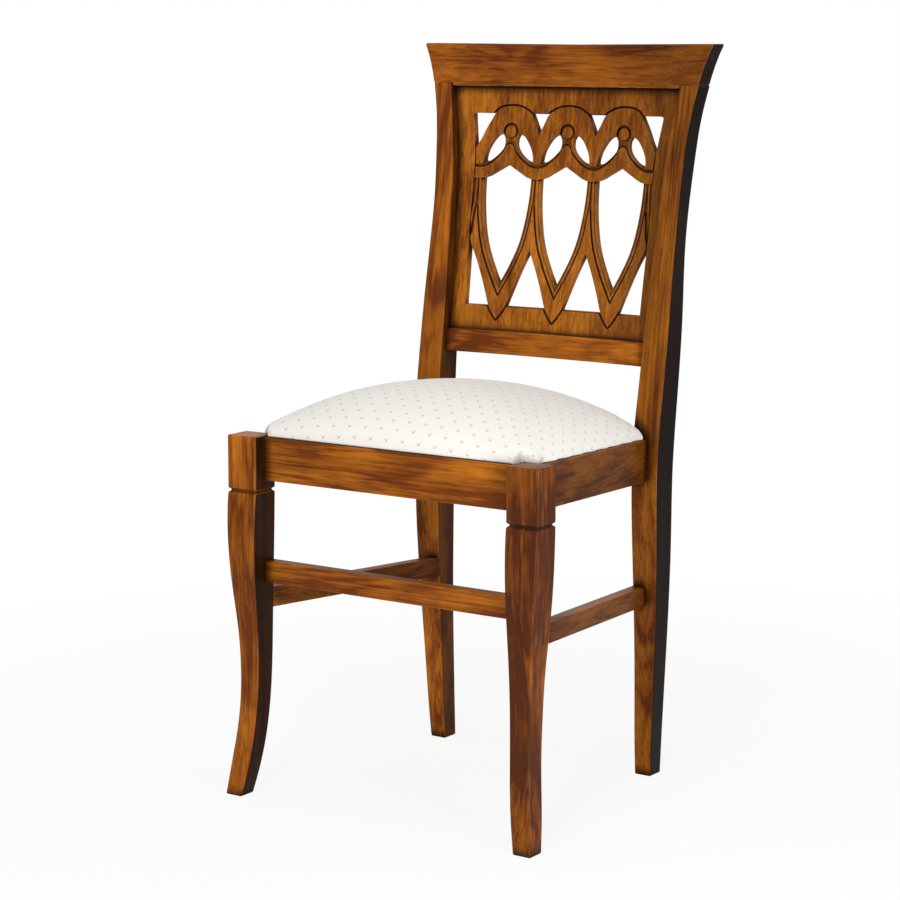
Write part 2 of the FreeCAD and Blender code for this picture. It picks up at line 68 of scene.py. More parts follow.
def smoothCurve(pairs):              # natural spline through (position, value) pairs
    x = np.array([p[0] for p in pairs], float)
    y = np.array([p[1] for p in pairs], float)
    h = np.diff(x)
    count = len(x)
    a = np.eye(count)
    b = np.zeros(count)
    for i in range(1, count - 1):
        a[i, i - 1:i + 2] = h[i - 1], 2 * (h[i - 1] + h[i]), h[i]
        b[i] = 6 * ((y[i + 1] - y[i]) / h[i] - (y[i] - y[i - 1]) / h[i - 1])
    m = np.linalg.solve(a, b)

    def value(t):
        t = np.clip(np.asarray(t, float), x[0], x[-1])
        i = np.clip(np.searchsorted(x, t) - 1, 0, count - 2)
        before, after, w = t - x[i], x[i + 1] - t, h[i]
        return ((m[i] * after ** 3 + m[i + 1] * before ** 3) / (6 * w)
                + (y[i] / w - m[i] * w / 6) * after + (y[i + 1] / w - m[i + 1] * w / 6) * before)
    return value


def dense(points, step=2.0):         # smooth line through a few points, evenly spaced
    p = np.array(points, float)
    run = np.concatenate(([0], np.cumsum(np.linalg.norm(np.diff(p, axis=0), axis=1))))
    if len(p) == 2:
        curves = [lambda t, k=k: np.interp(t, run, p[:, k]) for k in range(2)]
    else:
        curves = [smoothCurve(list(zip(run, p[:, k]))) for k in range(2)]
    t = np.linspace(0, run[-1], max(2, int(round(run[-1] / step)) + 1))
    return np.column_stack([c(t) for c in curves])


def spread(line, count):             # the same line with a given number of even points
    run = np.concatenate(([0], np.cumsum(np.linalg.norm(np.diff(line, axis=0), axis=1))))
    t = np.linspace(0, run[-1], count)
    return np.column_stack([np.interp(t, run, line[:, k]) for k in range(line.shape[1])])


def offsetLine(line, distance):      # to the left of the walking direction
    step = np.gradient(line, axis=0)
    step /= np.maximum(np.linalg.norm(step, axis=1, keepdims=True), 1e-9)
    return line + distance * np.column_stack((-step[:, 1], step[:, 0]))


def flip(line):                      # mirrored about the middle, walked the other way
    return np.array(line, float)[::-1] * (-1, 1)


# mesh helpers
def addObject(name, data):
    thing = bpy.data.objects.new(name, data)
    bpy.context.scene.collection.objects.link(thing)
    return thing


def gridLine(size, radius, cuts):
    inner = [c for c in cuts if radius + 1.2 < c < size - radius - 1.2]
    near = [0, 0.586 * radius, radius, radius + 0.7]
    return np.array(near + sorted(inner) + [size - n for n in reversed(near)])


def roundedBoard(size, radius, cuts=((), (), ())):
    # a straight board whose twelve edges are rounded; cuts are extra grid lines for bending it
    axes = [gridLine(size[i], radius, cuts[i]) for i in range(3)]
    last = [len(a) - 1 for a in axes]
    index, points, faces = {}, [], []

    def corner(place):
        if place not in index:
            index[place] = len(points)
            points.append([axes[k][place[k]] for k in range(3)])
        return index[place]

    for axis in range(3):
        u, v = (axis + 1) % 3, (axis + 2) % 3
        for side in (0, 1):
            for a in range(last[u]):
                for b in range(last[v]):
                    quad = []
                    for da, db in ((0, 0), (1, 0), (1, 1), (0, 1)):
                        place = [0, 0, 0]
                        place[axis], place[u], place[v] = last[axis] * side, a + da, b + db
                        quad.append(corner(tuple(place)))
                    faces.append(quad if side else quad[::-1])
    p = np.array(points)
    core = np.clip(p, radius, np.array(size) - radius)
    away = p - core
    away *= radius / np.maximum(np.linalg.norm(away, axis=1, keepdims=True), 1e-9)
    return core + away, faces


def evaluated(thing):                # its mesh with the modifiers applied
    bpy.context.view_layer.update()
    return bpy.data.meshes.new_from_object(thing.evaluated_get(bpy.context.evaluated_depsgraph_get()))


def meshPoints(mesh, what="co"):
    flat = np.empty(len(mesh.vertices) * 3)
    mesh.vertices.foreach_get(what, flat)
    return flat.reshape(-1, 3)


def makePiece(name, parts, material, stands=(), weighted=False):
    # parts is a list of (points in drawing coordinates, faces)
    mesh = bpy.data.meshes.new(name)
    points, faces = [], []
    for partPoints, partFaces in parts:
        start = len(points)
        points += toFrame(partPoints).tolist()
        faces += [[int(i) + start for i in face] for face in partFaces]
    mesh.from_pydata(points, [], faces)
    bm = bmesh.new()
    bm.from_mesh(mesh)
    bmesh.ops.remove_doubles(bm, verts=bm.verts, dist=2e-6)
    bmesh.ops.dissolve_degenerate(bm, edges=bm.edges, dist=1e-6)
    bmesh.ops.recalc_face_normals(bm, faces=bm.faces)
    bm.to_mesh(mesh)
    bm.free()
    mesh.shade_smooth()
    mesh.materials.append(material)
    piece = addObject(name, mesh)
    if weighted:
        normals = piece.modifiers.new("FlatFaces", "WEIGHTED_NORMAL")
        normals.weight = 100
        normals.keep_sharp = True
    if stands:
        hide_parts(*stands)
    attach(piece, "root")
    return piece


# node helpers
def colour(red, green, blue):        # display values 0-255 to a linear colour
    def linear(c):
        c /= 255.0
        return c / 12.92 if c <= 0.04045 else ((c + 0.055) / 1.055) ** 2.4
    return (linear(red), linear(green), linear(blue), 1.0)


def addNode(tree, kind, **settings):
    node = tree.nodes.new(kind if "Node" in kind else "ShaderNode" + kind)
    number = len(tree.nodes) - 1
    node.location = (number % 7 * 220, number // 7 * -280)
    for key, value in settings.items():
        setattr(node, key, value)
    return node


def feed(tree, socket, value):       # an output is wired to the socket, anything else is set on it
    if isinstance(value, bpy.types.NodeSocket):
        tree.links.new(value, socket)
    elif value is not None:
        socket.default_value = value


def fill(tree, node, values):
    for label, value in values.items():
        feed(tree, node.inputs[label], value)
    return node


def clearNodes(owner):
    owner.use_nodes = True
    owner.node_tree.nodes.clear()
    return owner.node_tree


def endWith(tree, shader, kind="OutputMaterial"):
    fill(tree, addNode(tree, kind), {0: shader.outputs[0]})


def newGroup(name, inputs, outputs, kind="ShaderNodeTree"):
    group = bpy.data.node_groups.new(name, kind)
    for label, sort, default in inputs:
        socket = group.interface.new_socket(label, in_out="INPUT", socket_type="NodeSocket" + sort)
        if default is not None:
            socket.default_value = default
    for label, sort in outputs:
        group.interface.new_socket(label, in_out="OUTPUT", socket_type="NodeSocket" + sort)
    return group, addNode(group, "NodeGroupInput").outputs, addNode(group, "NodeGroupOutput")


def calc(tree, operation, *values, clamp=False):
    node = addNode(tree, "Math", operation=operation, use_clamp=clamp)
    return fill(tree, node, dict(enumerate(values))).outputs[0]


def noise(tree, vector, scale, detail=2.0, roughness=0.5, distortion=0.0):
    return fill(tree, addNode(tree, "TexNoise"), {
        "Vector": vector, "Scale": scale, "Detail": detail, "Roughness": roughness, "Distortion": distortion,
    }).outputs["Fac"]


def ramp(tree, value, stops):        # grey stops, as (place, value)
    node = fill(tree, addNode(tree, "ValToRGB"), {0: value})
    elements = node.color_ramp.elements
    while len(elements) < len(stops):
        elements.new(0.5)
    for element, (place, grey) in zip(elements, stops):
        element.position = place
        element.color = (grey, grey, grey, 1)
    return node.outputs[0]


def remap(tree, value, given, wanted, kind="LINEAR"):
    node = addNode(tree, "MapRange", interpolation_type=kind)
    return fill(tree, node, {"Value": value, "From Min": given[0], "From Max": given[1],
                             "To Min": wanted[0], "To Max": wanted[1]}).outputs[0]


def mixColour(tree, share, first, second, mode="MIX"):
    node = addNode(tree, "Mix", data_type="RGBA", blend_type=mode)
    return fill(tree, node, {0: share, 6: first, 7: second}).outputs[2]


def axisOf(tree, vector, axis):
    return fill(tree, addNode(tree, "SeparateXYZ"), {0: vector}).outputs[axis]


# camera, light and floor
view = {
    "place": (1.83197, -2.70728, 0.96598),
    "pitch": 80.80,
    "turn": 34.77,
    "lens": 103.475,
}
lamps = {
    "key": {"place": (0.85, -2.8, 2.1), "aim": (0, 0, 0.5), "size": 0.6, "power": 44},
    "top": {"place": (0.0, -0.1, 2.9), "aim": (0, 0, 0.4), "size": 1.6, "power": 28},
    "low": {"place": (1.3, -0.8, 0.25), "aim": (0.2, -0.2, 0.3), "size": 0.4, "power": 13},
    "sky": 0.28,
    "mirrored": 0.7,          # how bright the room shows in glossy surfaces
}

cameraData = bpy.data.cameras.new("camera")
cameraData.lens = view["lens"]
cameraData.sensor_width = 36.0
camera = addObject("camera", cameraData)
camera.location = view["place"]
camera.rotation_euler = (math.radians(view["pitch"]), 0, math.radians(view["turn"]))
bpy.context.scene.camera = camera
bpy.context.scene.view_settings.view_transform = "Standard"

for lampName in ("key", "top", "low"):
    facts = lamps[lampName]
    lampData = bpy.data.lights.new(lampName, "AREA")
    lampData.size = facts["size"]
    lampData.energy = facts["power"]
    lamp = addObject(lampName, lampData)
    lamp.location = facts["place"]
    aim = np.array(facts["aim"]) - np.array(facts["place"])
    flat = math.hypot(aim[0], aim[1])
    lamp.rotation_euler = (math.atan2(flat, -aim[2]), 0, math.atan2(aim[1], aim[0]) - math.pi / 2)

# the room looks white from the camera, but lights the chair less
world = bpy.data.worlds.new("studio")
bpy.context.scene.world = world
tree = clearNodes(world)
path = addNode(tree, "LightPath").outputs
seen = calc(tree, "MAXIMUM", path["Is Camera Ray"], path["Is Transmission Ray"])
shine = addNode(tree, "Mix", data_type="FLOAT")
fill(tree, shine, {0: path["Is Glossy Ray"], 2: lamps["sky"], 3: lamps["mirrored"]})
strength = addNode(tree, "Mix", data_type="FLOAT")
fill(tree, strength, {0: seen, 2: shine.outputs[0], 3: 1.0})
sky = fill(tree, addNode(tree, "Background"), {"Color": (1, 1, 1, 1), "Strength": strength.outputs[0]})
endWith(tree, sky, "OutputWorld")

# the floor turns white away from the chair
floorMaterial = bpy.data.materials.new("floor_pale")
tree = clearNodes(floorMaterial)
paint = fill(tree, addNode(tree, "BsdfDiffuse"), {"Color": (0.86, 0.86, 0.86, 1)})
glow = fill(tree, addNode(tree, "Emission"), {"Strength": 1.0})
distance = addNode(tree, "VectorMath", operation="LENGTH")
fill(tree, distance, {0: addNode(tree, "TexCoord").outputs["Object"]})
share = calc(tree, "MULTIPLY", addNode(tree, "LightPath").outputs["Is Camera Ray"],
             remap(tree, distance.outputs["Value"], (0.35, 1.5), (0.89, 1.0), "SMOOTHSTEP"))
endWith(tree, fill(tree, addNode(tree, "MixShader"), {0: share, 1: paint.outputs[0], 2: glow.outputs[0]}))

floorMesh = bpy.data.meshes.new("floor")
floorMesh.from_pydata([(-9, -9, 0), (9, -9, 0), (9, 9, 0), (-9, 9, 0)], [], [(0, 1, 2, 3)])
floorMesh.materials.append(floorMaterial)
floor = addObject("floor", floorMesh)
print("camera, lamps and floor made")


# stained wood
def makeGrainGroup():
    # grain runs along the vector's z
    tree, given, end = newGroup("StainedGrain", [
        ("Vector", "Vector", None),
        ("Light Tone", "Color", colour(172, 108, 38)),
        ("Deep Tone", "Color", colour(112, 58, 20)),
        ("Pore Tone", "Color", colour(52, 24, 9)),
        ("Figure", "Float", 1.0),
        ("Mottle", "Float", 1.0),
    ], [("Color", "Color"), ("Roughness", "Float"), ("Height", "Float")])

    def drawnOut(share):             # everything is longer along the grain
        node = addNode(tree, "VectorMath", operation="MULTIPLY")
        return fill(tree, node, {0: given["Vector"], 1: (1.0, 1.0, share)}).outputs[0]
    rings = calc(tree, "MULTIPLY", noise(tree, drawnOut(0.085), 20.0, 2.2, 0.45, 0.5), 62.0)
    rings = calc(tree, "MULTIPLY_ADD", calc(tree, "SINE", rings), 0.5, 0.5)
    rings = ramp(tree, rings, [(0.0, 0.0), (0.55, 0.35), (0.9, 1.0)])
    along = drawnOut(0.028)
    fibre = noise(tree, along, 300.0, 4.0, 0.62)
    pores = ramp(tree, noise(tree, along, 900.0, 1.0), [(0.6, 0.0), (0.72, 1.0)])
    pores = calc(tree, "MULTIPLY", pores, 0.55)
    cloud = ramp(tree, noise(tree, drawnOut(0.38), 15.0, 4.0, 0.62), [(0.36, 0.0), (0.66, 1.0)])

    ringShare = calc(tree, "MULTIPLY", calc(tree, "MULTIPLY", rings, given["Figure"]), 0.3)
    fibreShare = calc(tree, "MULTIPLY_ADD", fibre, 1.5, -0.66)
    cloudShare = calc(tree, "MULTIPLY", calc(tree, "MULTIPLY", cloud, given["Mottle"]), 0.8)
    total = calc(tree, "ADD", calc(tree, "ADD", ringShare, fibreShare), cloudShare, clamp=True)
    tone = mixColour(tree, total, given["Light Tone"], given["Deep Tone"])
    fill(tree, end, {
        "Color": mixColour(tree, pores, tone, given["Pore Tone"]),
        "Roughness": calc(tree, "MULTIPLY_ADD", cloud, 0.12, 0.3),
        "Height": calc(tree, "SUBTRACT", calc(tree, "MULTIPLY", fibre, 0.5), pores),
    })
    return tree


def makeShadeAndWearGroup():
    # painted shade in hollows, grooves and joints, where the dark glaze also stays, and pale edges that are
    # partly wear and partly a painted highlight
    tree, given, end = newGroup("ShadeGlazeWearAndHighlight", [
        ("Vector", "Vector", None),
        ("Reach", "Float", 0.03),
        ("Edge Width", "Float", 0.0022),
    ], [("Glaze And Shade", "Float"), ("Wear And Highlight", "Float")])
    # ambient occlusion paints shade into hollows, grooves and the joints between parts
    hollow = fill(tree, addNode(tree, "AmbientOcclusion", samples=12), {"Distance": given["Reach"]})
    hollow = hollow.outputs["AO"]
    # rounded edges take a pale tone: partly wear, partly a painted highlight
    edge = fill(tree, addNode(tree, "Bevel", samples=4), {"Radius": given["Edge Width"]})
    turn = addNode(tree, "VectorMath", operation="DOT_PRODUCT")
    fill(tree, turn, {0: edge.outputs[0], 1: addNode(tree, "NewGeometry").outputs["Normal"]})
    wearAndHighlight = calc(tree, "MULTIPLY", ramp(tree, turn.outputs["Value"], [(0.86, 1.0), (0.985, 0.0)]),
                ramp(tree, noise(tree, given["Vector"], 90.0, 3.0), [(0.42, 0.0), (0.62, 1.0)]))
    wearAndHighlight = calc(tree, "MULTIPLY", wearAndHighlight, ramp(tree, hollow, [(0.8, 0.0), (0.95, 1.0)]))
    fill(tree, end, {"Glaze And Shade": ramp(tree, hollow, [(0.42, 1.0), (0.7, 0.72), (0.94, 0.0)]), "Wear And Highlight": wearAndHighlight})
    return tree


grainGroup = makeGrainGroup()
shadeAndWearGroup = makeShadeAndWearGroup()

woodTones = {
    "light": (190, 112, 28),
    "deep": (106, 50, 11),
    "pore": (42, 18, 6),
    # near-black colour of the painted shade in hollows and joints, also of the dark glaze that stays there
    "glazeAndShade": (14, 6, 3),
    # pale edge tone, partly wear and partly a painted highlight
    "wornAndHighlight": (186, 132, 76),
}


def makeWood(name, turn=(0, 0, 0), shift=(0, 0, 0), light=None, deep=None, pore=None, figure=1.0, mottle=1.0,
             glazeAndShadeShare=0.97, wearAndHighlightShare=0.6, reach=0.018, staves=0.0, sideShade=(0.0, 0.0), shadeToRight=0.0):
    # the two side shares are how much painted shade darkens the faces that look inwards and outwards,
    # and the right-hand share how much painted shade darkens the wood towards its right
    material = bpy.data.materials.new(name)
    tree = clearNodes(material)
    place = addNode(tree, "TexCoord").outputs["Object"]
    across = axisOf(tree, place, "X")
    mapping = fill(tree, addNode(tree, "Mapping"), {
        "Vector": place, "Rotation": [math.radians(a) for a in turn], "Location": shift,
    })
    grain = fill(tree, addNode(tree, "Group", node_tree=grainGroup), {
        "Vector": mapping.outputs[0],
        "Light Tone": colour(*(light or woodTones["light"])),
        "Deep Tone": colour(*(deep or woodTones["deep"])),
        "Pore Tone": colour(*(pore or woodTones["pore"])),
        "Figure": figure,
        "Mottle": mottle,
    })
    shadeAndWear = fill(tree, addNode(tree, "Group", node_tree=shadeAndWearGroup), {"Vector": place, "Reach": reach})
    tone = grain.outputs["Color"]

    def shaded(share):
        return fill(tree, addNode(tree, "HueSaturation"), {"Color": tone, "Value": share}).outputs[0]
    if staves:
        # the board is glued up from narrow staves of slightly different tone
        number = calc(tree, "FLOOR", calc(tree, "DIVIDE", across, staves))
        chance = fill(tree, addNode(tree, "TexWhiteNoise", noise_dimensions="1D"), {"W": number})
        tone = shaded(remap(tree, chance.outputs["Value"], (0.0, 1.0), (0.72, 1.16)))
    # painted shade: the wood gets darker towards its right
    if shadeToRight:
        tone = shaded(remap(tree, across, (-0.06, 0.2), (1.0, 1.0 - shadeToRight), "SMOOTHSTEP"))
    # painted shade from the occlusion, together with the dark glaze in the hollows
    glazedAndShaded = calc(tree, "MULTIPLY", shadeAndWear.outputs["Glaze And Shade"], glazeAndShadeShare)
    # painted shade on the faces that look inwards or outwards, as if they were out of the light
    if max(sideShade) > 0:
        normal = axisOf(tree, addNode(tree, "NewGeometry").outputs["Normal"], "X")
        away = calc(tree, "MULTIPLY", calc(tree, "SIGN", across), normal)
        left = calc(tree, "ADD", remap(tree, away, (-0.55, -0.9), (0.0, sideShade[0])),
                    remap(tree, away, (0.55, 0.9), (0.0, sideShade[1])))
        glazedAndShaded = calc(tree, "MAXIMUM", glazedAndShaded, left)
    tone = mixColour(tree, glazedAndShaded, tone, colour(*woodTones["glazeAndShade"]))
    # pale edges: partly wear, partly a painted highlight
    wornAndHighlight = calc(tree, "MULTIPLY", shadeAndWear.outputs["Wear And Highlight"], wearAndHighlightShare)
    bump = fill(tree, addNode(tree, "Bump"), {
        "Strength": 0.22, "Distance": 0.0006, "Height": grain.outputs["Height"],
    })
    shader = fill(tree, addNode(tree, "BsdfPrincipled"), {
        "Base Color": mixColour(tree, wornAndHighlight, tone, colour(*woodTones["wornAndHighlight"])),
        "Roughness": grain.outputs["Roughness"],
        "Coat Weight": 0.06,
        "Coat Roughness": 0.2,
        "Specular IOR Level": 0.07,
        "Normal": bump.outputs[0],
    })
    endWith(tree, shader)
    return material


# these woods get painted shade on inner or outer faces, and the back parts painted shade towards the right
woodUpright = makeWood("stained_upright", sideShade=(0.93, 0.0))
# a darker copy for the right front leg: painted shade
woodUprightRightShaded = makeWood("stained_upright_right_shaded", shift=(0.6, 0.2, 0.0), light=(150, 83, 23),
                            deep=(74, 35, 12), mottle=1.4, sideShade=(0.93, 0.0))
woodUprightRear = makeWood("stained_rear_legs", turn=(8, 0, 0), shift=(0.13, 0.3, 0.2),
                           sideShade=(0.7, 0.98), shadeToRight=0.46)
woodAcross = makeWood("stained_across", turn=(0, 90, 0), shift=(0.4, 0.1, 0.0))
woodSides = makeWood("stained_sides", turn=(90, 0, 0), shift=(0.2, 0.5, 0.3), mottle=1.3, sideShade=(0.6, 0.6))
woodCrest = makeWood("stained_crest", turn=(0, 90, 0), shift=(0.7, 0.31, 0.1), light=(172, 98, 24),
                     deep=(93, 43, 9), figure=0.7, sideShade=(0.0, 0.96), shadeToRight=0.48)
woodFret = makeWood("stained_fretwork", shift=(0.3, 0.7, 0.4), figure=0.5, staves=0.042, reach=0.014,
                    light=(212, 129, 36), deep=(124, 62, 14), shadeToRight=0.72)
print("wood materials made")


# straight and bent members
edges = {"legs": 2.2, "rails": 1.4, "stretchers": 1.8, "crest": 3.2}


def sided(points, side):
    return points * (side, 1, 1)


def steps(low, high, step):
    return list(np.linspace(low, high, max(2, int((high - low) / step))))


def sawnLeg(lines, top, grooveAt=None, grooveDeep=0.0, board=44.0):
    # a board sawn to its outlines, keeping the same small rounding along every edge
    cuts = steps(0, top, 7.0)
    if grooveAt:
        cuts = [c for c in cuts if abs(c - grooveAt) > 6]
        cuts += [grooveAt + d for d in (-4.6, -3.6, -2.9, -2.2, -0.6, 0.6, 2.2, 2.9, 3.6, 4.6)]
    points, faces = roundedBoard((board, board, top), edges["legs"], ((), (), cuts))
    z = points[:, 2]
    inner, outer, front, back = [line(z) for line in lines]
    notch = np.zeros(len(z))
    if grooveAt:
        notch = grooveDeep * np.clip(1.15 - np.abs(z - grooveAt) / 2.6, 0, 1)
    a, b = points[:, 0], points[:, 1]
    x = np.where(a < board / 2, inner + notch + a, outer - notch - (board - a))
    y = np.where(b < board / 2, front + notch + b, back - notch - (board - b))
    return np.column_stack((x, y, z)), faces


frontLegLines = {
    "inner": [(0, 207.5), (28, 201.7), (60, 196.8), (100, 193.2), (150, 191.0), (210, 190.1), (280, 189.4),
              (350, 188.2), (394.5, 187.5), (465, 187.5)],
    "outer": [(0, 232.8), (40, 228.6), (80, 223.6), (120, 220.6), (165, 220.4), (215, 222.6), (260, 226.8),
              (310, 230.6), (360, 232.6), (394.5, 233.1), (465, 233.1)],
    "front": [(0, -13.4), (28, -8.6), (58, -4.2), (100, 0.8), (145, 3.8), (190, 3.8), (235, 1.2), (280, -2.4),
              (325, -4.4), (362, -3.6), (388, -1.2), (396, 0), (465, 0)],
    "back": [(0, 12.2), (40, 20.0), (80, 26.6), (120, 31.0), (175, 34.2), (240, 36.0), (310, 37.8),
             (394.5, 39.0), (465, 39.0)],
}
rearLegLines = {
    "inner": [(0, 152.0), (120, 153.2), (240, 153.4), (340, 152.2), (420, 152.2), (520, 154.9), (610, 156.4),
              (690, 159.4), (760, 161.7), (815, 165.6), (860, 171.6), (897.6, 177.4)],
    "outer": [(0, 176.0), (60, 179.0), (140, 183.4), (225, 187.6), (310, 190.0), (400, 190.6), (500, 192.2),
              (590, 192.4), (670, 190.9), (735, 190.4), (800, 192.6), (860, 198.0), (897.6, 205.2)],
    "front": [(0, 363.0), (40, 360.0), (110, 357.2), (195, 353.6), (270, 349.6), (345, 346.4), (415, 345.8),
              (465, 348.8), (522, 356.8), (602, 368.8), (690, 382.9), (755, 393.6), (815, 401.2), (860, 407.8),
              (897.6, 413.3)],
    "back": [(0, 389.6), (110, 387.8), (220, 386.6), (330, 386.4), (410, 387.2), (475, 391.6), (540, 398.0),
             (605, 404.4), (690, 411.6), (755, 421.6), (817, 431.6), (862, 437.9), (897.6, 443.2)],
}


def flatAbove(pairs, level):         # spline up to a level, then straight
    curve = smoothCurve([p for p in pairs if p[0] <= level + 2])
    return lambda z: curve(np.minimum(z, level))


frontLines = [flatAbove(frontLegLines[k], neckHeight) for k in ("inner", "outer", "front", "back")]
rearLines = [smoothCurve(rearLegLines[k]) for k in ("inner", "outer", "front", "back")]
for side, word in ((-1, "left"), (1, "right")):
    points, faces = sawnLeg(frontLines, 465.0, grooveAt=neckHeight, grooveDeep=3.0)
    makePiece("front_leg_%s_turned" % word, [(sided(points, side), faces)],
              woodUprightRightShaded if side > 0 else woodUpright,
              ["front_leg_%s" % word])
    points, faces = sawnLeg(rearLines, 897.9, board=50.0)
    makePiece("rear_leg_%s_sawn" % word, [(sided(points, side), faces)], woodUprightRear,
              ["rear_leg_%s" % word])
print("legs made")


def straightBar(size, radius, warp, cuts=((), (), ())):
    points, faces = roundedBoard(size, radius, cuts)
    return warp(points), faces


def frontRailWarp(p):
    top = railTop - seatFall * p[:, 1]
    z = np.where(p[:, 2] > railDeep / 2, top - (railDeep - p[:, 2]), railTop - railDeep + p[:, 2])
    return np.column_stack((p[:, 0] - 190.0, p[:, 1] + railFront, z))


makePiece("front_seat_rail_planed",
          [straightBar((380.0, 22.0, railDeep), edges["rails"], frontRailWarp)],
          woodAcross, ["front_seat_rail"])


def rearRailWarp(p):
    depth = 350.0 + p[:, 1]
    top = seatHeight(depth)
    z = np.where(p[:, 2] > railDeep / 2, top - (railDeep - p[:, 2]), seatHeight(350.0) - railDeep + p[:, 2])
    return np.column_stack((p[:, 0] - 157.0, depth, z))


makePiece("rear_seat_rail_planed",
          [straightBar((314.0, 22.0, railDeep), edges["rails"], rearRailWarp)],
          woodAcross, ["rear_seat_rail"])

makePiece("front_stretcher_planed",
          [straightBar((386.0, 18.0, 28.0), edges["stretchers"], lambda p: p + (-193.0, 19.0, 276.5))],
          woodAcross, ["front_stretcher"])

for side, word in ((-1, "left"), (1, "right")):
    def railWarp(p):
        along = p[:, 1]
        x = 187.5 + p[:, 0] - sideTaper * (along - 2.0)
        return np.column_stack((x * side, along + 37.0, seatHeight(along + 37.0) - railDeep + p[:, 2]))

    def stretcherWarp(p):
        along = p[:, 1]
        x = 191.6 + p[:, 0] - sideTaper * (along + 3.0)
        return np.column_stack((x * side, along + 30.0, 241.8 + p[:, 2] - 0.035 * (along + 3.0)))

    makePiece("side_seat_rail_%s_planed" % word,
              [straightBar((22.0, 314.0, railDeep), edges["rails"], railWarp)],
              woodSides, ["side_seat_rail_%s" % word])
    makePiece("side_stretcher_%s_planed" % word,
              [straightBar((18.0, 326.0, 26.0), edges["stretchers"], stretcherWarp)],
              woodSides, ["side_stretcher_%s" % word])
print("rails and stretchers made")


# bowed rails of the back
crestFlare = smoothCurve([(897.6, 205.2), (918, 210.8), (937, 217.6), (950, 223.6)])


def crestParts():
    # main board, sprung between the two flared ends, and the lip that holds the panel
    height = 950.0 - 896.9
    points, faces = roundedBoard((400.0, 30.0, height), edges["crest"],
                                 (steps(0, 400, 9.0), (), steps(0, height, 9.0)))
    z = 896.9 + points[:, 2]
    low = np.clip(1 - points[:, 2] / edges["crest"], 0, 1)
    depth = points[:, 1]
    rounding = 1 - 0.75 * low ** 2
    depth = np.where(depth < 15, depth * rounding, 30 - (30 - depth) * rounding)
    half = crestFlare(z)
    a = points[:, 0] - 200.0
    x = np.where(np.abs(a) < 180, a * (half - 20) / 180, np.sign(a) * (half - (200 - np.abs(a))))
    front = bowedDepth(x, z, "crest") - 1.0 * np.clip((np.abs(x) - 160) / 20, 0, 1)
    z = z - 1.6 * np.clip(points[:, 2] / height, 0, 1) * (1 - np.minimum(np.abs(x) / 223.6, 1))
    main = np.column_stack((x, front + depth, z)), faces

    points, faces = roundedBoard((352.4, 30.0, 6.0), 0.8, (steps(0, 352, 9.0), (), ()))
    x, z = points[:, 0] - 176.2, points[:, 2] + 893.5
    lip = np.column_stack((x, bowedDepth(x, z, "crest") + points[:, 1], z)), faces
    return [main, lip]


makePiece("crest_rail_shaped", crestParts(), woodCrest, ["crest_rail"])


def lowerRail():
    points, faces = roundedBoard((325.0, 22.0, 30.5), edges["rails"], (steps(0, 325, 9.0), (), ()))
    x, z = points[:, 0] - 162.5, points[:, 2] + 539.5
    return np.column_stack((x, bowedDepth(x, z, "lowerRail") + points[:, 1], z)), faces


makePiece("lower_back_rail_shaped", [lowerRail()], woodAcross, ["lower_back_rail"])
print("crest and lower rail made")

# carved panel, in panel coordinates: x across, z up, depth behind the front surface
fret = {
    "cell": 87.8,             # distance between neighbouring loops
    "groove": 2.6,            # width of the cut round each raised form
    "ground": 2.6,            # how deep the ground lies below the raised forms
    "thickness": 10.0,
    "boss": (833.5, 8.5, 11.4),   # height, disc radius, ring radius
}
cell = fret["cell"]
half = cell / 2

# outlines on one side of a loop's middle, from the top downwards
scallop = [(0, 790), (6, 786.5), (14, 782), (22, 777.5), (30, 773.2), (36.5, 771.2), (half, 770)]
waveTop = [(0, 821.5), (5, 819.5), (8, 813.5), (13, 806.5), (20, 800), (28, 794.5), (36, 791), (half, 790)]
flank = [(36.5, 771.2), (35.5, 745), (33, 722), (29.5, 702), (24.5, 683), (17, 664.5), (9, 648), (1.6, 634.5)]
splay = [(half, 677), (40, 669), (33.5, 655), (26, 637), (18.5, 617), (13, 602.5), (7.0, 593), (0, 584.5)]
archOuter = [(0, 867), (12, 866), (25, 860.5), (30, 857), (36, 846), (42, 834), (half, 829.5)]
archOuterLast = [(0, 867), (12, 866), (22, 861.5), (26, 857), (30, 850), (37, 838), (45, 822), (52, 811)]
archInner = [(11.0, 830.2), (13.5, 829.8), (20, 828), (28, 820), (33.5, 811), (37, 801), (37.8, 794.5),
             (37.8, 783)]


def shifted(line, across):
    return np.array(line, float) + (across, 0)


def joined(*lines):                  # one closed outline, without repeated points
    out = []
    for line in lines:
        for p in line:
            if not out or math.hypot(p[0] - out[-1][0], p[1] - out[-1][1]) > 0.15:
                out.append((float(p[0]), float(p[1])))
    if math.hypot(out[0][0] - out[-1][0], out[0][1] - out[-1][1]) < 0.15:
        out.pop()
    return out


def onPanel(points):                 # (x, z, depth behind the surface) to drawing coordinates
    p = np.array(points, float)
    return np.column_stack((p[:, 0], bowedDepth(p[:, 0], p[:, 1], "panel") + p[:, 2], p[:, 1]))


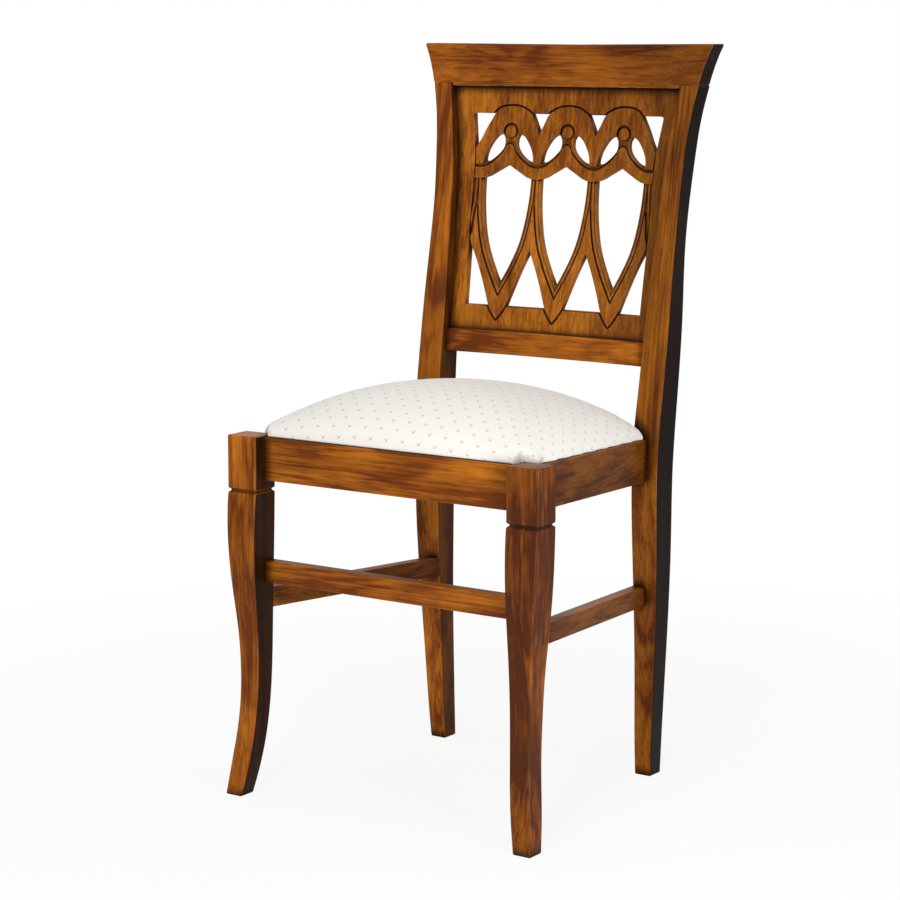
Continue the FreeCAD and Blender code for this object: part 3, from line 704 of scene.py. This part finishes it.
def plate(outlines, frontDepth, backDepth, rounding):
    # flat shape with holes, its edges rounded, cut into strips so that it can follow the bow
    data = bpy.data.curves.new("outline", "CURVE")
    data.dimensions = "2D"
    data.fill_mode = "BOTH"
    thick = backDepth - frontDepth
    data.extrude = thick / 2 - rounding
    data.bevel_depth = rounding
    data.bevel_resolution = 2
    data.offset = -rounding
    for outline in outlines:
        spline = data.splines.new("POLY")
        spline.points.add(len(outline) - 1)
        for point, (x, z) in zip(spline.points, outline):
            point.co = (x, z, 0, 1)
        spline.use_cyclic_u = True
    holder = addObject("outline", data)
    mesh = evaluated(holder)
    bpy.data.objects.remove(holder)
    bm = bmesh.new()
    bm.from_mesh(mesh)
    bmesh.ops.remove_doubles(bm, verts=bm.verts, dist=0.01)
    low, high = min(v.co.x for v in bm.verts), max(v.co.x for v in bm.verts)
    for x in np.arange(math.ceil(low / 9) * 9, high, 9.0):
        everything = bm.verts[:] + bm.edges[:] + bm.faces[:]
        bmesh.ops.bisect_plane(bm, geom=everything, dist=0.005, plane_co=(x, 0, 0), plane_no=(1, 0, 0))
    bm.verts.index_update()
    points = [(v.co.x, v.co.y, frontDepth + thick / 2 - v.co.z) for v in bm.verts]
    faces = [[v.index for v in f.verts] for f in bm.faces]
    bm.free()
    bpy.data.meshes.remove(mesh)
    return onPanel(points), faces


def moulding(lines, depths, backDepth):
    # closed strip whose surface passes through the lines, each at its own depth
    count = len(lines[0])
    rows = [np.column_stack((line, np.full(count, depth))) for line, depth in zip(lines, depths)]
    rows.append(np.column_stack((lines[-1], np.full(count, backDepth))))
    rows.append(np.column_stack((lines[0], np.full(count, backDepth))))
    points = np.vstack(rows)
    total = len(rows)
    faces = []
    for r in range(total):
        after = (r + 1) % total
        for i in range(count - 1):
            faces.append([r * count + i, r * count + i + 1, after * count + i + 1, after * count + i])
    faces.append([r * count for r in range(total)][::-1])
    faces.append([r * count + count - 1 for r in range(total)])
    return onPanel(points), faces


def levelLine(distance, count=40):
    # line at a distance outside a loop's opening, from its top down to the pointed tip
    line = dense(flank, 1.5)
    away = offsetLine(line, distance)
    if away[-1, 0] > 0:
        slope = (away[-1] - away[-3]) / max(abs(away[-1, 0] - away[-3, 0]), 1e-6)
        away = np.vstack((away, away[-1] + slope * away[-1, 0]))
    away = away[away[:, 0] >= 0]
    if away[-1, 0] > 0.01:
        away[-1, 0] = 0.0
    away[:, 0] = np.minimum(away[:, 0], half - 0.35)
    away[0, 1] = 771.5
    return spread(away, count)


def panelParts():
    ground, groove = fret["ground"], fret["groove"]
    bossHeight, bossRadius, ringRadius = fret["boss"]
    centres = (-cell, 0.0, cell)
    parts = []

    # the sawn panel itself, its ground lying behind the raised forms
    side = dense([(160.7, 564), (161.2, 605), (164.2, 690), (166.7, 760), (170.8, 818), (176.6, 860),
                  (182.0, 899)], 12)
    board = joined([(-160.7, 564), (160.7, 564)], side, [(182.0, 899), (-182.0, 899)], flip(side))
    loopHalf = np.vstack((dense(scallop[:-1], 2), dense(flank, 2), [(0, 632.6)]))
    loopHole = joined(loopHalf, flip(loopHalf))
    lensHalf = joined(
        dense([(9, 823.5), (9, 815), (13, 807), (20, 800), (28, 794.8), (36, 793)], 1.5),
        dense([(37.8, 794.5), (37, 801), (33.5, 811), (28, 820), (20, 828), (12.5, 830)], 1.5))
    holes = []
    for c in centres:
        holes.append(joined(shifted(loopHole, c)))
        holes.append(joined(shifted(lensHalf, c)))
        holes.append(joined(shifted(flip(lensHalf), c)))
    shoulder = [p for p in archOuter if p[1] <= 857]
    for c in (-half, half):
        up = dense([(half - p[0], p[1]) for p in reversed(shoulder)], 2)      # from the fork up to the band
        holes.append(joined(shifted(np.vstack((up, flip(up))), c)))
        down = dense([(half - p[0], p[1]) for p in splay[:6]], 2)
        holes.append(joined(shifted(np.vstack((down, flip(down))), c)))
    cornerUp = joined(dense([(147.5, 857), (143.8, 832), (140.6, 811.5)], 2),
                      dense([(cell + p[0], p[1]) for p in reversed(archOuterLast[3:])], 2))
    cornerLow = joined(dense([(cell + p[0], p[1]) for p in reversed(splay[1:6])], 2),
                       [(134.3, 681), (138.2, 690)], dense([(137.4, 650), (136.8, 602.5)], 3))
    for corner in (cornerUp, cornerLow):
        holes.append(corner)
        holes.append([(-x, z) for x, z in reversed(corner)])
    parts.append(plate([board] + holes, ground, fret["thickness"], 0.5))

    # raised frame round the fretwork, cut away round the arches and the tips of the loops
    rim = [(-136.8, 602.5)]
    tip = dense(splay[5:], 1.5)                               # from the band down to the tip
    tipAway = offsetLine(np.vstack((tip, flip(tip)[1:]))[::-1], -groove)
    tipAway = tipAway[tipAway[:, 1] < 602.5]
    for c in centres:
        rim += [tuple(p) for p in shifted(tipAway[np.argsort(tipAway[:, 0])], c)]
    rim.append((136.8, 602.5))
    upSide = dense([(136.8, 606), (137.6, 650), (138.8, 690), (139.4, 740), (140.8, 811), (143.8, 832),
                    (147.3, 853)], 4)
    rim += [tuple(p) for p in upSide] + [(147.0, 856.0), (144.0, 857.0)]
    for c in reversed(centres):
        right = archOuterLast if c > 0 else archOuter
        left = archOuterLast if c < 0 else archOuter
        over = np.vstack((dense(right, 1.5)[::-1], [(-x, z) for x, z in dense(left, 1.5)[1:]]))
        away = offsetLine(over, -groove)
        away = away[away[:, 1] > 857.0]
        rim += [tuple(p) for p in shifted(away, c)]
    rim += [(-144.0, 857.0), (-147.0, 856.0)] + [(-x, z) for x, z in upSide[::-1]]
    parts.append(plate([board, joined(rim)], 0.0, ground + 0.5, 0.7))

    # arches and the stems between them, as one pierced piece
    upper, lower = [], []
    for c in centres:
        left = archOuterLast if c < 0 else archOuter
        right = archOuterLast if c > 0 else archOuter
        upper += [(c - x, z) for x, z in dense(left, 1.5)[::-1]]
        upper += [(c + x, z) for x, z in dense(right, 1.5)[1:]]
    for c in reversed(centres):
        inner = dense(archInner, 1.5)
        turnArc = [(ringRadius * math.sin(a), bossHeight + ringRadius * math.cos(a))
                   for a in np.linspace(math.radians(104), math.radians(-104), 26)]
        lower += [(c + x, z) for x, z in inner[::-1]] + [(c + x, z) for x, z in turnArc]
        lower += [(c - x, z) for x, z in inner]
    # their feet end on the ribbon, which runs past them
    ribbon = np.array(waveTop, float)

    def onRibbon(x, z):
        near = min(abs(x - c) for c in centres)
        return x, max(z, float(np.interp(near, ribbon[:, 0], ribbon[:, 1])) - 0.5)
    lower = [onRibbon(x, z) for x, z in lower]
    foot = [(cell + 50.5, 800), onRibbon(cell + 50.0, 783)]
    outline = joined(upper, foot, lower, [(-x, z) for x, z in reversed(foot)])
    parts.append(plate([outline], -0.3, ground + 0.5, 0.9))

    # bosses in their rings
    count = 28
    around = [2 * math.pi * k / count for k in range(count)]
    rings = [(bossRadius, ground + 0.4), (bossRadius - 0.2, 1.0), (bossRadius - 1.0, 0.1), (5.0, -0.3),
             (2.5, -0.5)]
    for c in centres:
        points = [(c + r * math.cos(a), bossHeight + r * math.sin(a), d) for r, d in rings for a in around]
        points.append((c, bossHeight, -0.6))
        faces = []
        for k in range(count):
            after = (k + 1) % count
            for low in range(0, len(points) - 1 - count, count):
                faces.append([low + k, low + after, low + count + after, low + count + k])
            faces.append([len(points) - 1 - count + k, len(points) - 1 - count + after, len(points) - 1])
        faces.append(list(range(count))[::-1])
        parts.append((onPanel(points), faces))

    # scalloped ribbon: thin rim, groove, then a gently rounded band
    profile = [(0, 2.9), (0.25, 1.1), (0.8, 0.6), (1.5, 0.8), (2.0, 2.2), (3.2, 2.7), (4.4, 2.3), (4.8, 0.5),
               (5.5, 0.0)]
    for c in centres:
        for side in (-1, 1):
            topLine, lowLine = list(waveTop), list(scallop)
            if c * side > 0:
                topLine.append((half + 7.6, 790.5))
                lowLine.append((half + 7.4, 770.3))
            above, below = spread(dense(topLine, 1.2), 36), spread(dense(lowLine, 1.2), 36)
            above[0, 0] = below[0, 0] = 0.0
            width = np.linalg.norm(above - below, axis=1, keepdims=True)
            lines = [above + (below - above) * np.minimum(d / width, 1) for d, _ in profile]
            depths = [d for _, d in profile]
            for share, depth in ((0.5, -0.2), (0.75, -0.2)):
                lines.append(above + (below - above) * np.maximum(share, (6.6 + 10 * (share - 0.5)) / width))
                depths.append(depth)
            for d, depth in ((0.9, 0.0), (0.25, 0.6), (0.0, 2.9)):
                lines.append(above + (below - above) * (1 - d / width))
                depths.append(depth)
            parts.append(moulding([shifted(line * (side, 1), c) for line in lines], depths, ground + 1.2))

    # moulded inner edge of each loop: a fillet, a cove and a bead, with a groove outside them
    section = [(0.0, 2.9), (0.3, 1.9), (1.1, 1.5), (1.8, 1.8), (2.3, 2.7), (3.0, 1.7), (3.9, 0.5), (5.0, 0.0),
               (6.1, 0.4), (7.0, 1.5), (7.7, 2.9)]
    bead = [levelLine(d) for d, _ in section]
    depths = [d for _, d in section]
    for c in centres:
        for side in (-1, 1):
            parts.append(moulding([shifted(line * (side, 1), c) for line in bead], depths, ground + 1.2))
    # the outermost legs show the second bead too, against the frame
    for side in (-1, 1):
        second = []
        for line in bead:
            copy = line[line[:, 1] > 692]
            second.append(spread(np.column_stack((2 * half - copy[:, 0], copy[:, 1])), 24))
        lines = [np.column_stack(((cell + np.minimum(l[:, 0], 50.6)) * side, l[:, 1])) for l in second]
        parts.append(moulding(lines, depths, ground + 1.2))

    # flat outer band of the loops, running from one loop into the next
    edgeLine = levelLine(8.6, 60)
    edgeLine = edgeLine[edgeLine[:, 0] < half - 0.5]
    lowHalf = dense(splay, 1.5)
    upper, lower = [], []
    for c in centres:
        upper += [(c - x, z) for x, z in edgeLine] + [(c + x, z) for x, z in edgeLine[::-1][1:]]
        lower += [(c - x, z) for x, z in lowHalf] + [(c + x, z) for x, z in lowHalf[::-1][1:]]
    lower = [(x, z) for x, z in lower if abs(x) < cell + 40.2]
    ends = [(cell + half + 3.0, 699), (cell + 49.0, 696), (cell + 49.4, 689), (134.3, 681)]
    outline = joined([(-x, z) for x, z in reversed(ends)], upper, ends, lower[::-1])
    parts.append(plate([outline], 0.0, ground + 0.5, 0.8))
    return parts


fretPiece = makePiece("fret_panel_carved", panelParts(), woodFret, ["fret_panel"],
                      weighted=True)
print("carved panel made,", len(fretPiece.data.polygons), "faces")

# seat pad, in its own coordinates: across, back along the seat, up from the rails
pad = {
    "length": 354.5,
    "halfWidth": 212.0,
    "edge": 6.0,
    "crown": 69.2,
    "peak": 0.42,             # where along the length it is highest
    "slack": 1.8,             # how much smaller it starts before it is filled
    "voxel": 4.2,
    "pressure": 4.0,
    "swell": (1.2, 3.0),      # furthest that the filling pushes the cloth, on top and at the sides
    "dotSpacing": (24.0, 13.5),
    "cloth": (237, 234, 228),
    "dots": (200, 192, 183),
}
seatAngle = math.atan(seatFall)


def padHalf(v):
    return pad["halfWidth"] - sideTaper * np.asarray(v, float)


def padTop(x, v):
    middle = pad["peak"] * pad["length"]
    across = np.clip(np.abs(x) / padHalf(v), 0, 1)
    reach = np.where(v < middle, (middle - v) / middle, (v - middle) / (pad["length"] - middle))
    reach = np.clip(reach, 0, 0.992)
    return pad["edge"] + pad["crown"] * (1 - across ** 2.28) ** 0.6 * (1 - reach ** 2.48) ** 0.6


def onSeat(points):
    p = np.array(points, float)
    depth = railFront + p[:, 1] * math.cos(seatAngle) + p[:, 2] * math.sin(seatAngle)
    height = railTop - p[:, 1] * math.sin(seatAngle) + p[:, 2] * math.cos(seatAngle)
    return np.column_stack((p[:, 0], depth, height))


def padBlock():
    slack = pad["slack"]
    shares = np.sin(np.linspace(-math.pi / 2, math.pi / 2, 41))
    along = pad["length"] / 2 * (1 + np.sin(np.linspace(-math.pi / 2, math.pi / 2, 37)))
    index = {}
    points, faces = [], []
    for level in (1, 0):
        for j, v in enumerate(along):
            for i, share in enumerate(shares):
                index[level, i, j] = len(points)
                x = padHalf(v) * share
                top = float(padTop(x, v)) - slack
                place = min(max(v, slack), pad["length"] - slack)
                points.append((x - slack * share, place, top if level else -1.5))
    lastI, lastJ = len(shares) - 1, len(along) - 1
    for j in range(lastJ):
        for i in range(lastI):
            faces.append([index[1, i, j], index[1, i + 1, j], index[1, i + 1, j + 1], index[1, i, j + 1]])
            faces.append([index[0, i, j], index[0, i, j + 1], index[0, i + 1, j + 1], index[0, i + 1, j]])
    for j in range(lastJ):
        for i in (0, lastI):
            faces.append([index[0, i, j], index[0, i, j + 1], index[1, i, j + 1], index[1, i, j]])
    for i in range(lastI):
        for j in (0, lastJ):
            faces.append([index[0, i, j], index[0, i + 1, j], index[1, i + 1, j], index[1, i, j]])
    return points, faces


def cornerBoxes():
    # room for the front blocks and for the stiles
    points, faces = [], []
    for side in (-1, 1):
        for near, low, high in ((186.2, -30.0, 23.0), (150.4, 326.8, 400.0)):
            xs = sorted((side * near, side * 300.0))
            start = len(points)
            points += [(x, v, h) for h in (-20.0, 120.0) for v in (low, high) for x in xs]
            for quad in ((0, 2, 3, 1), (4, 5, 7, 6), (0, 1, 5, 4), (2, 6, 7, 3), (0, 4, 6, 2), (1, 3, 7, 5)):
                faces.append([start + q for q in quad])
    return points, faces


def looseMesh(name, points, faces):
    mesh = bpy.data.meshes.new(name)
    mesh.from_pydata((np.array(points) * 0.001).tolist(), [], faces)
    bm = bmesh.new()
    bm.from_mesh(mesh)
    bmesh.ops.recalc_face_normals(bm, faces=bm.faces)
    bm.to_mesh(mesh)
    bm.free()
    return addObject(name, mesh)


def filledPad():
    # the form is cut, remeshed evenly, and then blown up a little as cloth over foam
    block = looseMesh("pad_form", *padBlock())
    boxes = looseMesh("pad_room", *cornerBoxes())
    cut = block.modifiers.new("Room", "BOOLEAN")
    cut.operation = "DIFFERENCE"
    cut.object = boxes
    even = block.modifiers.new("Even", "REMESH")
    even.mode = "VOXEL"
    even.voxel_size = pad["voxel"] / 1000.0
    mesh = evaluated(block)
    bpy.data.objects.remove(block)
    bpy.data.objects.remove(boxes)
    thing = addObject("pad_cloth", mesh)
    before = meshPoints(mesh) * 1000.0
    held = thing.vertex_groups.new(name="held")
    held.add([int(i) for i in np.nonzero(before[:, 2] < 0.4)[0]], 1.0, "REPLACE")
    cloth = thing.modifiers.new("Filling", "CLOTH")
    facts = cloth.settings
    facts.use_pressure = True
    facts.uniform_pressure_force = pad["pressure"]
    facts.vertex_group_mass = "held"
    facts.effector_weights.gravity = 0
    cloth.point_cache.frame_start, cloth.point_cache.frame_end = 1, 20
    for number in range(1, 21):
        bpy.context.scene.frame_set(number)
    swollen = evaluated(thing)
    after = meshPoints(swollen) * 1000.0
    bpy.data.meshes.remove(swollen)
    thing.modifiers.clear()
    thing.vertex_groups.clear()
    bpy.context.scene.frame_set(1)
    # the cloth only moves outwards, and less on top than at the sides
    out = meshPoints(mesh, "normal")
    push = np.sum((after - before) * out, axis=1)
    top, sideways = pad["swell"]
    limit = top + (sideways - top) * (1 - np.clip(out[:, 2], 0, 1))
    return thing, before + out * np.clip(push, 0, limit)[:, None]


def keepClear(p):
    # the cloth stays on the rails, and beside the blocks and the stiles
    x, v, h = np.abs(p[:, 0]), p[:, 1], p[:, 2]
    sign = np.sign(p[:, 0])
    h = np.maximum(h, 0.35)
    low = np.clip((14 - h) / 10, 0, 1)
    x = np.minimum(x, padHalf(v) + 0.8 + 2.0 * (1 - low))
    v = np.clip(v, -0.8 - 2.0 * (1 - low), pad["length"] + 0.8)
    bend = 12.0                                       # the front ends beside the blocks are rounded
    back = bend - np.clip(v + 0.8, 0, bend)
    x = np.where(v < 22.1, np.minimum(x, 187.1 - bend + np.sqrt(bend ** 2 - back ** 2)), x)
    for near, edge, front in ((187.1, 22.1, True), (151.6, 328.4, False)):
        if front:                                     # the padding swells a little over the blocks
            over = 3.0 * np.clip((h - 2.5) / 5, 0, 1)
            near, edge = near + over, edge - over
        inside = (x > near) & ((v < edge) if front else (v > edge))
        toSide, toEdge = x - near, np.abs(v - edge)
        x = np.where(inside & (toSide <= toEdge), near, x)
        v = np.where(inside & (toSide > toEdge), edge, v)
    return np.column_stack((x * sign, v, h))


def clothLengths(p):
    # distance measured over the cloth, across and along, in units of the dot spacing
    shares = np.linspace(0, 1, 61)
    stations = np.linspace(0, pad["length"], 72)
    grid = np.array([[float(padTop(padHalf(v) * s, v)) for s in shares] for v in stations])
    widths = padHalf(stations)[:, None] * shares[None, :]
    across = np.zeros_like(grid)
    across[:, 1:] = np.cumsum(np.hypot(np.diff(widths, axis=1), np.diff(grid, axis=1)), axis=1)
    along = np.zeros_like(grid)
    along[1:] = np.cumsum(np.hypot(np.diff(stations)[:, None], np.diff(grid, axis=0)), axis=0)
    along -= along[30:31]
    x, v, h = p[:, 0], np.clip(p[:, 1], 0, pad["length"]), p[:, 2]
    share = np.clip(np.abs(x) / padHalf(v), 0, 1)
    a, b = v / pad["length"] * 71, share * 60
    i, j = np.clip(a.astype(int), 0, 70), np.clip(b.astype(int), 0, 59)
    fa, fb = a - i, b - j

    def read(table):
        return ((table[i, j] * (1 - fb) + table[i, j + 1] * fb) * (1 - fa)
                + (table[i + 1, j] * (1 - fb) + table[i + 1, j + 1] * fb) * fa)
    drop = np.maximum(0, padTop(x, v) - h - 1.5)
    frontEdge = np.clip((40 - v) / 30, 0, 1) * (share < 0.9)
    s = (read(across) + drop * (share >= 0.9)) * np.sign(x)
    t = read(along) - drop * frontEdge
    return np.column_stack((s, t)) / pad["dotSpacing"]


def makeWeaveGroup():
    tree, given, end = newGroup("PlainWeave", [
        ("Vector", "Vector", None),
        ("Threads", "Float", 14.0),
        ("Slub", "Float", 0.5),
    ], [("Shade", "Float"), ("Height", "Float")])
    waves = []
    for axis, stretch in (("X", 2 * math.pi * 1.78), ("Y", 2 * math.pi)):
        turns = calc(tree, "MULTIPLY", axisOf(tree, given["Vector"], axis), given["Threads"])
        waves.append(calc(tree, "SINE", calc(tree, "MULTIPLY", turns, stretch)))
    uneven = calc(tree, "MULTIPLY", noise(tree, given["Vector"], 9.0, 4.0), given["Slub"])
    woven = calc(tree, "MULTIPLY", *waves)
    fill(tree, end, {"Shade": uneven, "Height": calc(tree, "MULTIPLY_ADD", woven, 0.5, uneven)})
    return tree


weaveGroup = makeWeaveGroup()


def makeCoverCloth():
    material = bpy.data.materials.new("cover_cloth")
    tree = clearNodes(material)
    lay = addNode(tree, "UVMap", uv_map="weave").outputs[0]
    u, v = axisOf(tree, lay, "X"), axisOf(tree, lay, "Y")
    # every other row of motifs stands half a step aside
    odd = calc(tree, "MODULO", calc(tree, "ABSOLUTE", calc(tree, "FLOOR", v)), 2.0)
    across = calc(tree, "SUBTRACT", calc(tree, "FRACT", calc(tree, "MULTIPLY_ADD", odd, 0.5, u)), 0.5)
    along = calc(tree, "SUBTRACT", calc(tree, "FRACT", v), 0.5)
    x = calc(tree, "ABSOLUTE", calc(tree, "MULTIPLY", across, pad["dotSpacing"][0]))
    y = calc(tree, "MULTIPLY", along, pad["dotSpacing"][1])
    # each motif is a small open "v" of two strokes
    arm = calc(tree, "SUBTRACT", y, calc(tree, "MULTIPLY", x, 1.15))
    arm = calc(tree, "ABSOLUTE", calc(tree, "ADD", arm, 1.2))
    motif = calc(tree, "MULTIPLY", remap(tree, arm, (0.3, 2.1), (1.0, 0.0), "SMOOTHSTEP"),
                 remap(tree, x, (1.6, 3.0), (1.0, 0.0), "SMOOTHSTEP"))
    weave = fill(tree, addNode(tree, "Group", node_tree=weaveGroup), {"Vector": lay})
    tone = mixColour(tree, motif, colour(*pad["cloth"]), colour(*pad["dots"]))
    bump = fill(tree, addNode(tree, "Bump"), {
        "Strength": 0.25, "Distance": 0.0004, "Height": weave.outputs["Height"],
    })
    shader = fill(tree, addNode(tree, "BsdfPrincipled"), {
        "Base Color": mixColour(tree, weave.outputs["Shade"], tone, (0.93, 0.92, 0.9, 1), "MULTIPLY"),
        "Roughness": 0.85,
        "Specular IOR Level": 0.2,
        "Sheen Weight": 0.12,
        "Normal": bump.outputs[0],
    })
    endWith(tree, shader)
    return material


def setWeave(thing, lengths):        # how the cloth lies, in units of the motif spacing
    layer = thing.data.uv_layers.new(name="weave")
    corners = np.empty(len(thing.data.loops), dtype=int)
    thing.data.loops.foreach_get("vertex_index", corners)
    layer.data.foreach_set("uv", lengths[corners].ravel())


coverCloth = makeCoverCloth()
cushion, cushionPoints = filledPad()
cushionPoints = keepClear(cushionPoints)
cushion.data.vertices.foreach_set("co", toFrame(onSeat(cushionPoints)).ravel())
setWeave(cushion, clothLengths(cushionPoints))
cushion.name = cushion.data.name = "seat_pad_covered"
cushion.data.materials.clear()
cushion.data.materials.append(coverCloth)
cushion.data.shade_smooth()
finer = cushion.modifiers.new("Finer", "SUBSURF")
finer.levels = finer.render_levels = 1
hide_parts("seat_cover", "seat_foam")
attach(cushion, "root")
print("seat pad filled,", len(cushion.data.polygons), "faces")

# underside: plywood, turned-under cloth, staples, corner blocks and screws
staples = {"spacing": 27.0, "crown": 10.0, "wire": 0.55, "seed": 4}


def boardParts():
    # its corners are cut away round the blocks and the stiles
    low, high, inset = 0.1, 8.0, 9.0
    side = [(186.0, inset), (186.0, 23.5), (float(padHalf(23.5)) - inset, 23.5),
            (float(padHalf(326.0)) - inset, 326.0), (150.0, 326.0), (150.0, pad["length"] - inset)]
    outline = side + [(-x, v) for x, v in reversed(side)]
    count = len(outline)
    points = [(x, v, h) for h in (low, high) for x, v in outline]
    faces = [[i, (i + 1) % count, count + (i + 1) % count, count + i] for i in range(count)]
    faces += [list(range(count))[::-1], list(range(count, 2 * count))]
    return onSeat(points), faces


def makeSteel():
    material = bpy.data.materials.new("steel")
    tree = clearNodes(material)
    tone = (150, 148, 142)
    cloud = noise(tree, addNode(tree, "TexCoord").outputs["Object"], 200.0, 4.0)
    shader = fill(tree, addNode(tree, "BsdfPrincipled"), {
        "Base Color": mixColour(tree, cloud, colour(*tone), colour(*[c * 0.7 for c in tone])),
        "Roughness": calc(tree, "MULTIPLY_ADD", cloud, 0.2, 0.28),
        "Metallic": 1.0,
    })
    endWith(tree, shader)
    return material


# the raw underside wood gets less painted shade in its hollows, and less pale edge wear and highlight
rawWood = makeWood("raw_wood", turn=(0, 90, 0), light=(206, 170, 118), deep=(170, 128, 80), pore=(120, 84, 50),
                   glazeAndShadeShare=0.35, wearAndHighlightShare=0.15)
plywood = makeWood("plywood", turn=(90, 0, 0), light=(214, 184, 138), deep=(186, 148, 98), pore=(140, 104, 66),
                   glazeAndShadeShare=0.3, wearAndHighlightShare=0.0, figure=0.6)
steel = makeSteel()

makePiece("seat_board_plywood", [boardParts()], plywood, ["seat_board"], weighted=True)
for name in nodes:
    if name.startswith("corner_block") or name == "seat_screws":
        nodes[name].data.materials.clear()
        nodes[name].data.materials.append(steel if name == "seat_screws" else rawWood)


def turnedCloth():
    # strips of the cover, turned in under the board between the corner blocks
    parts, middles = [], []

    def rail(v):
        return 187.1 - sideTaper * (v - 21.7)
    runs = [
        (lambda t: (-125 + 250 * t, 22.4), (0, 1), 250),
        (lambda t: (94 - 188 * t, 332.3), (0, -1), 188),
    ]
    for side in (-1, 1):
        runs.append((lambda t, side=side: (side * rail(77 + 201 * t), 77 + 201 * t), (-side, 0), 201))
    for number, (place, inwards, length) in enumerate(runs):
        count = int(length / 5)
        points, middle = [], []
        for i in range(count + 1):
            x, v = place(i / count)
            width = 16.5 + 0.9 * math.sin(i * 0.9 + number) + 0.6 * math.sin(i * 2.3)
            for share in (0.0, 0.5, 1.0):
                for h in (-0.05, -0.85 + 0.25 * share):
                    points.append((x + inwards[0] * width * share, v + inwards[1] * width * share, h))
            middle.append((x + inwards[0] * 8.0, v + inwards[1] * 8.0, -0.85))
        faces = []
        ring = (0, 2, 4, 5, 3, 1)
        for i in range(count):
            for k in range(6):
                a, b = ring[k], ring[(k + 1) % 6]
                faces.append([6 * i + a, 6 * i + b, 6 * i + 6 + b, 6 * i + 6 + a])
        faces.append(list(ring)[::-1])
        faces.append([6 * count + k for k in ring])
        parts.append((onSeat(points), faces))
        middles.append(onSeat(middle))
    return parts, middles


def makeStapleTree():
    # short wires along the lines, each a little askew
    tree, given, end = newGroup("StapleRow", [
        ("Geometry", "Geometry", None),
        ("Spacing", "Float", 0.027),
        ("Crown", "Float", 0.01),
        ("Wire", "Float", 0.0006),
        ("Seed", "Int", 4),
        ("Material", "Material", None),
    ], [("Geometry", "Geometry")], "GeometryNodeTree")

    def step(kind, values, **settings):
        return fill(tree, addNode(tree, kind, **settings), values).outputs
    curve = step("GeometryNodeMeshToCurve", {0: given["Geometry"]})[0]
    places = step("GeometryNodeResampleCurve", {"Curve": curve, "Length": given["Spacing"]}, mode="LENGTH")[0]
    tangent = addNode(tree, "GeometryNodeInputTangent").outputs[0]
    turn = step("FunctionNodeAlignRotationToVector", {"Vector": tangent}, axis="X")[0]
    skew = step("FunctionNodeRandomValue", {2: -0.25, 3: 0.25, "Seed": given["Seed"]}, data_type="FLOAT")[1]
    spin = step("FunctionNodeEulerToRotation", {0: step("CombineXYZ", {"Z": skew})[0]})[0]
    turn = step("FunctionNodeRotateRotation", {0: turn, 1: spin}, rotation_space="LOCAL")[0]
    low, high = [step("CombineXYZ", {"X": calc(tree, "MULTIPLY", given["Crown"], share)})[0]
                 for share in (-0.5, 0.5)]
    crown = step("GeometryNodeCurvePrimitiveLine", {"Start": low, "End": high})[0]
    section = step("GeometryNodeCurvePrimitiveCircle", {"Resolution": 8, "Radius": given["Wire"]})[0]
    wire = step("GeometryNodeCurveToMesh", {"Curve": crown, "Profile Curve": section, "Fill Caps": True})[0]
    row = step("GeometryNodeInstanceOnPoints", {"Points": places, "Instance": wire, "Rotation": turn})[0]
    real = step("GeometryNodeRealizeInstances", {0: row})[0]
    paint = step("GeometryNodeSetMaterial", {"Geometry": real, "Material": given["Material"]})[0]
    fill(tree, end, {0: paint})
    return tree


stripParts, stripLines = turnedCloth()
under = makePiece("cover_turned_under", stripParts, coverCloth)
setWeave(under, meshPoints(under.data)[:, :2] * 1000.0 / pad["dotSpacing"])

stapleTree = makeStapleTree()
lineMesh = bpy.data.meshes.new("staple_lines")
linePoints, lineEdges = [], []
for line in stripLines:
    begin = len(linePoints)
    linePoints += toFrame(line).tolist()
    lineEdges += [(begin + i, begin + i + 1) for i in range(len(line) - 1)]
lineMesh.from_pydata(linePoints, lineEdges, [])
lines = addObject("staple_lines", lineMesh)
row = lines.modifiers.new("Staples", "NODES")
row.node_group = stapleTree
wanted = {"Spacing": staples["spacing"] / 1000, "Crown": staples["crown"] / 1000,
          "Wire": staples["wire"] / 1000, "Seed": staples["seed"], "Material": steel}
for socket in stapleTree.interface.items_tree:
    if socket.in_out == "INPUT" and socket.name in wanted:
        row[socket.identifier] = wanted[socket.name]
stapleMesh = evaluated(lines)
bpy.data.objects.remove(lines)
stapleMesh.name = "cover_staples"
stapleMesh.shade_smooth()
stapleRow = addObject("cover_staples", stapleMesh)
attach(stapleRow, "root")
print("underside made,", len(stapleMesh.polygons), "staple faces")
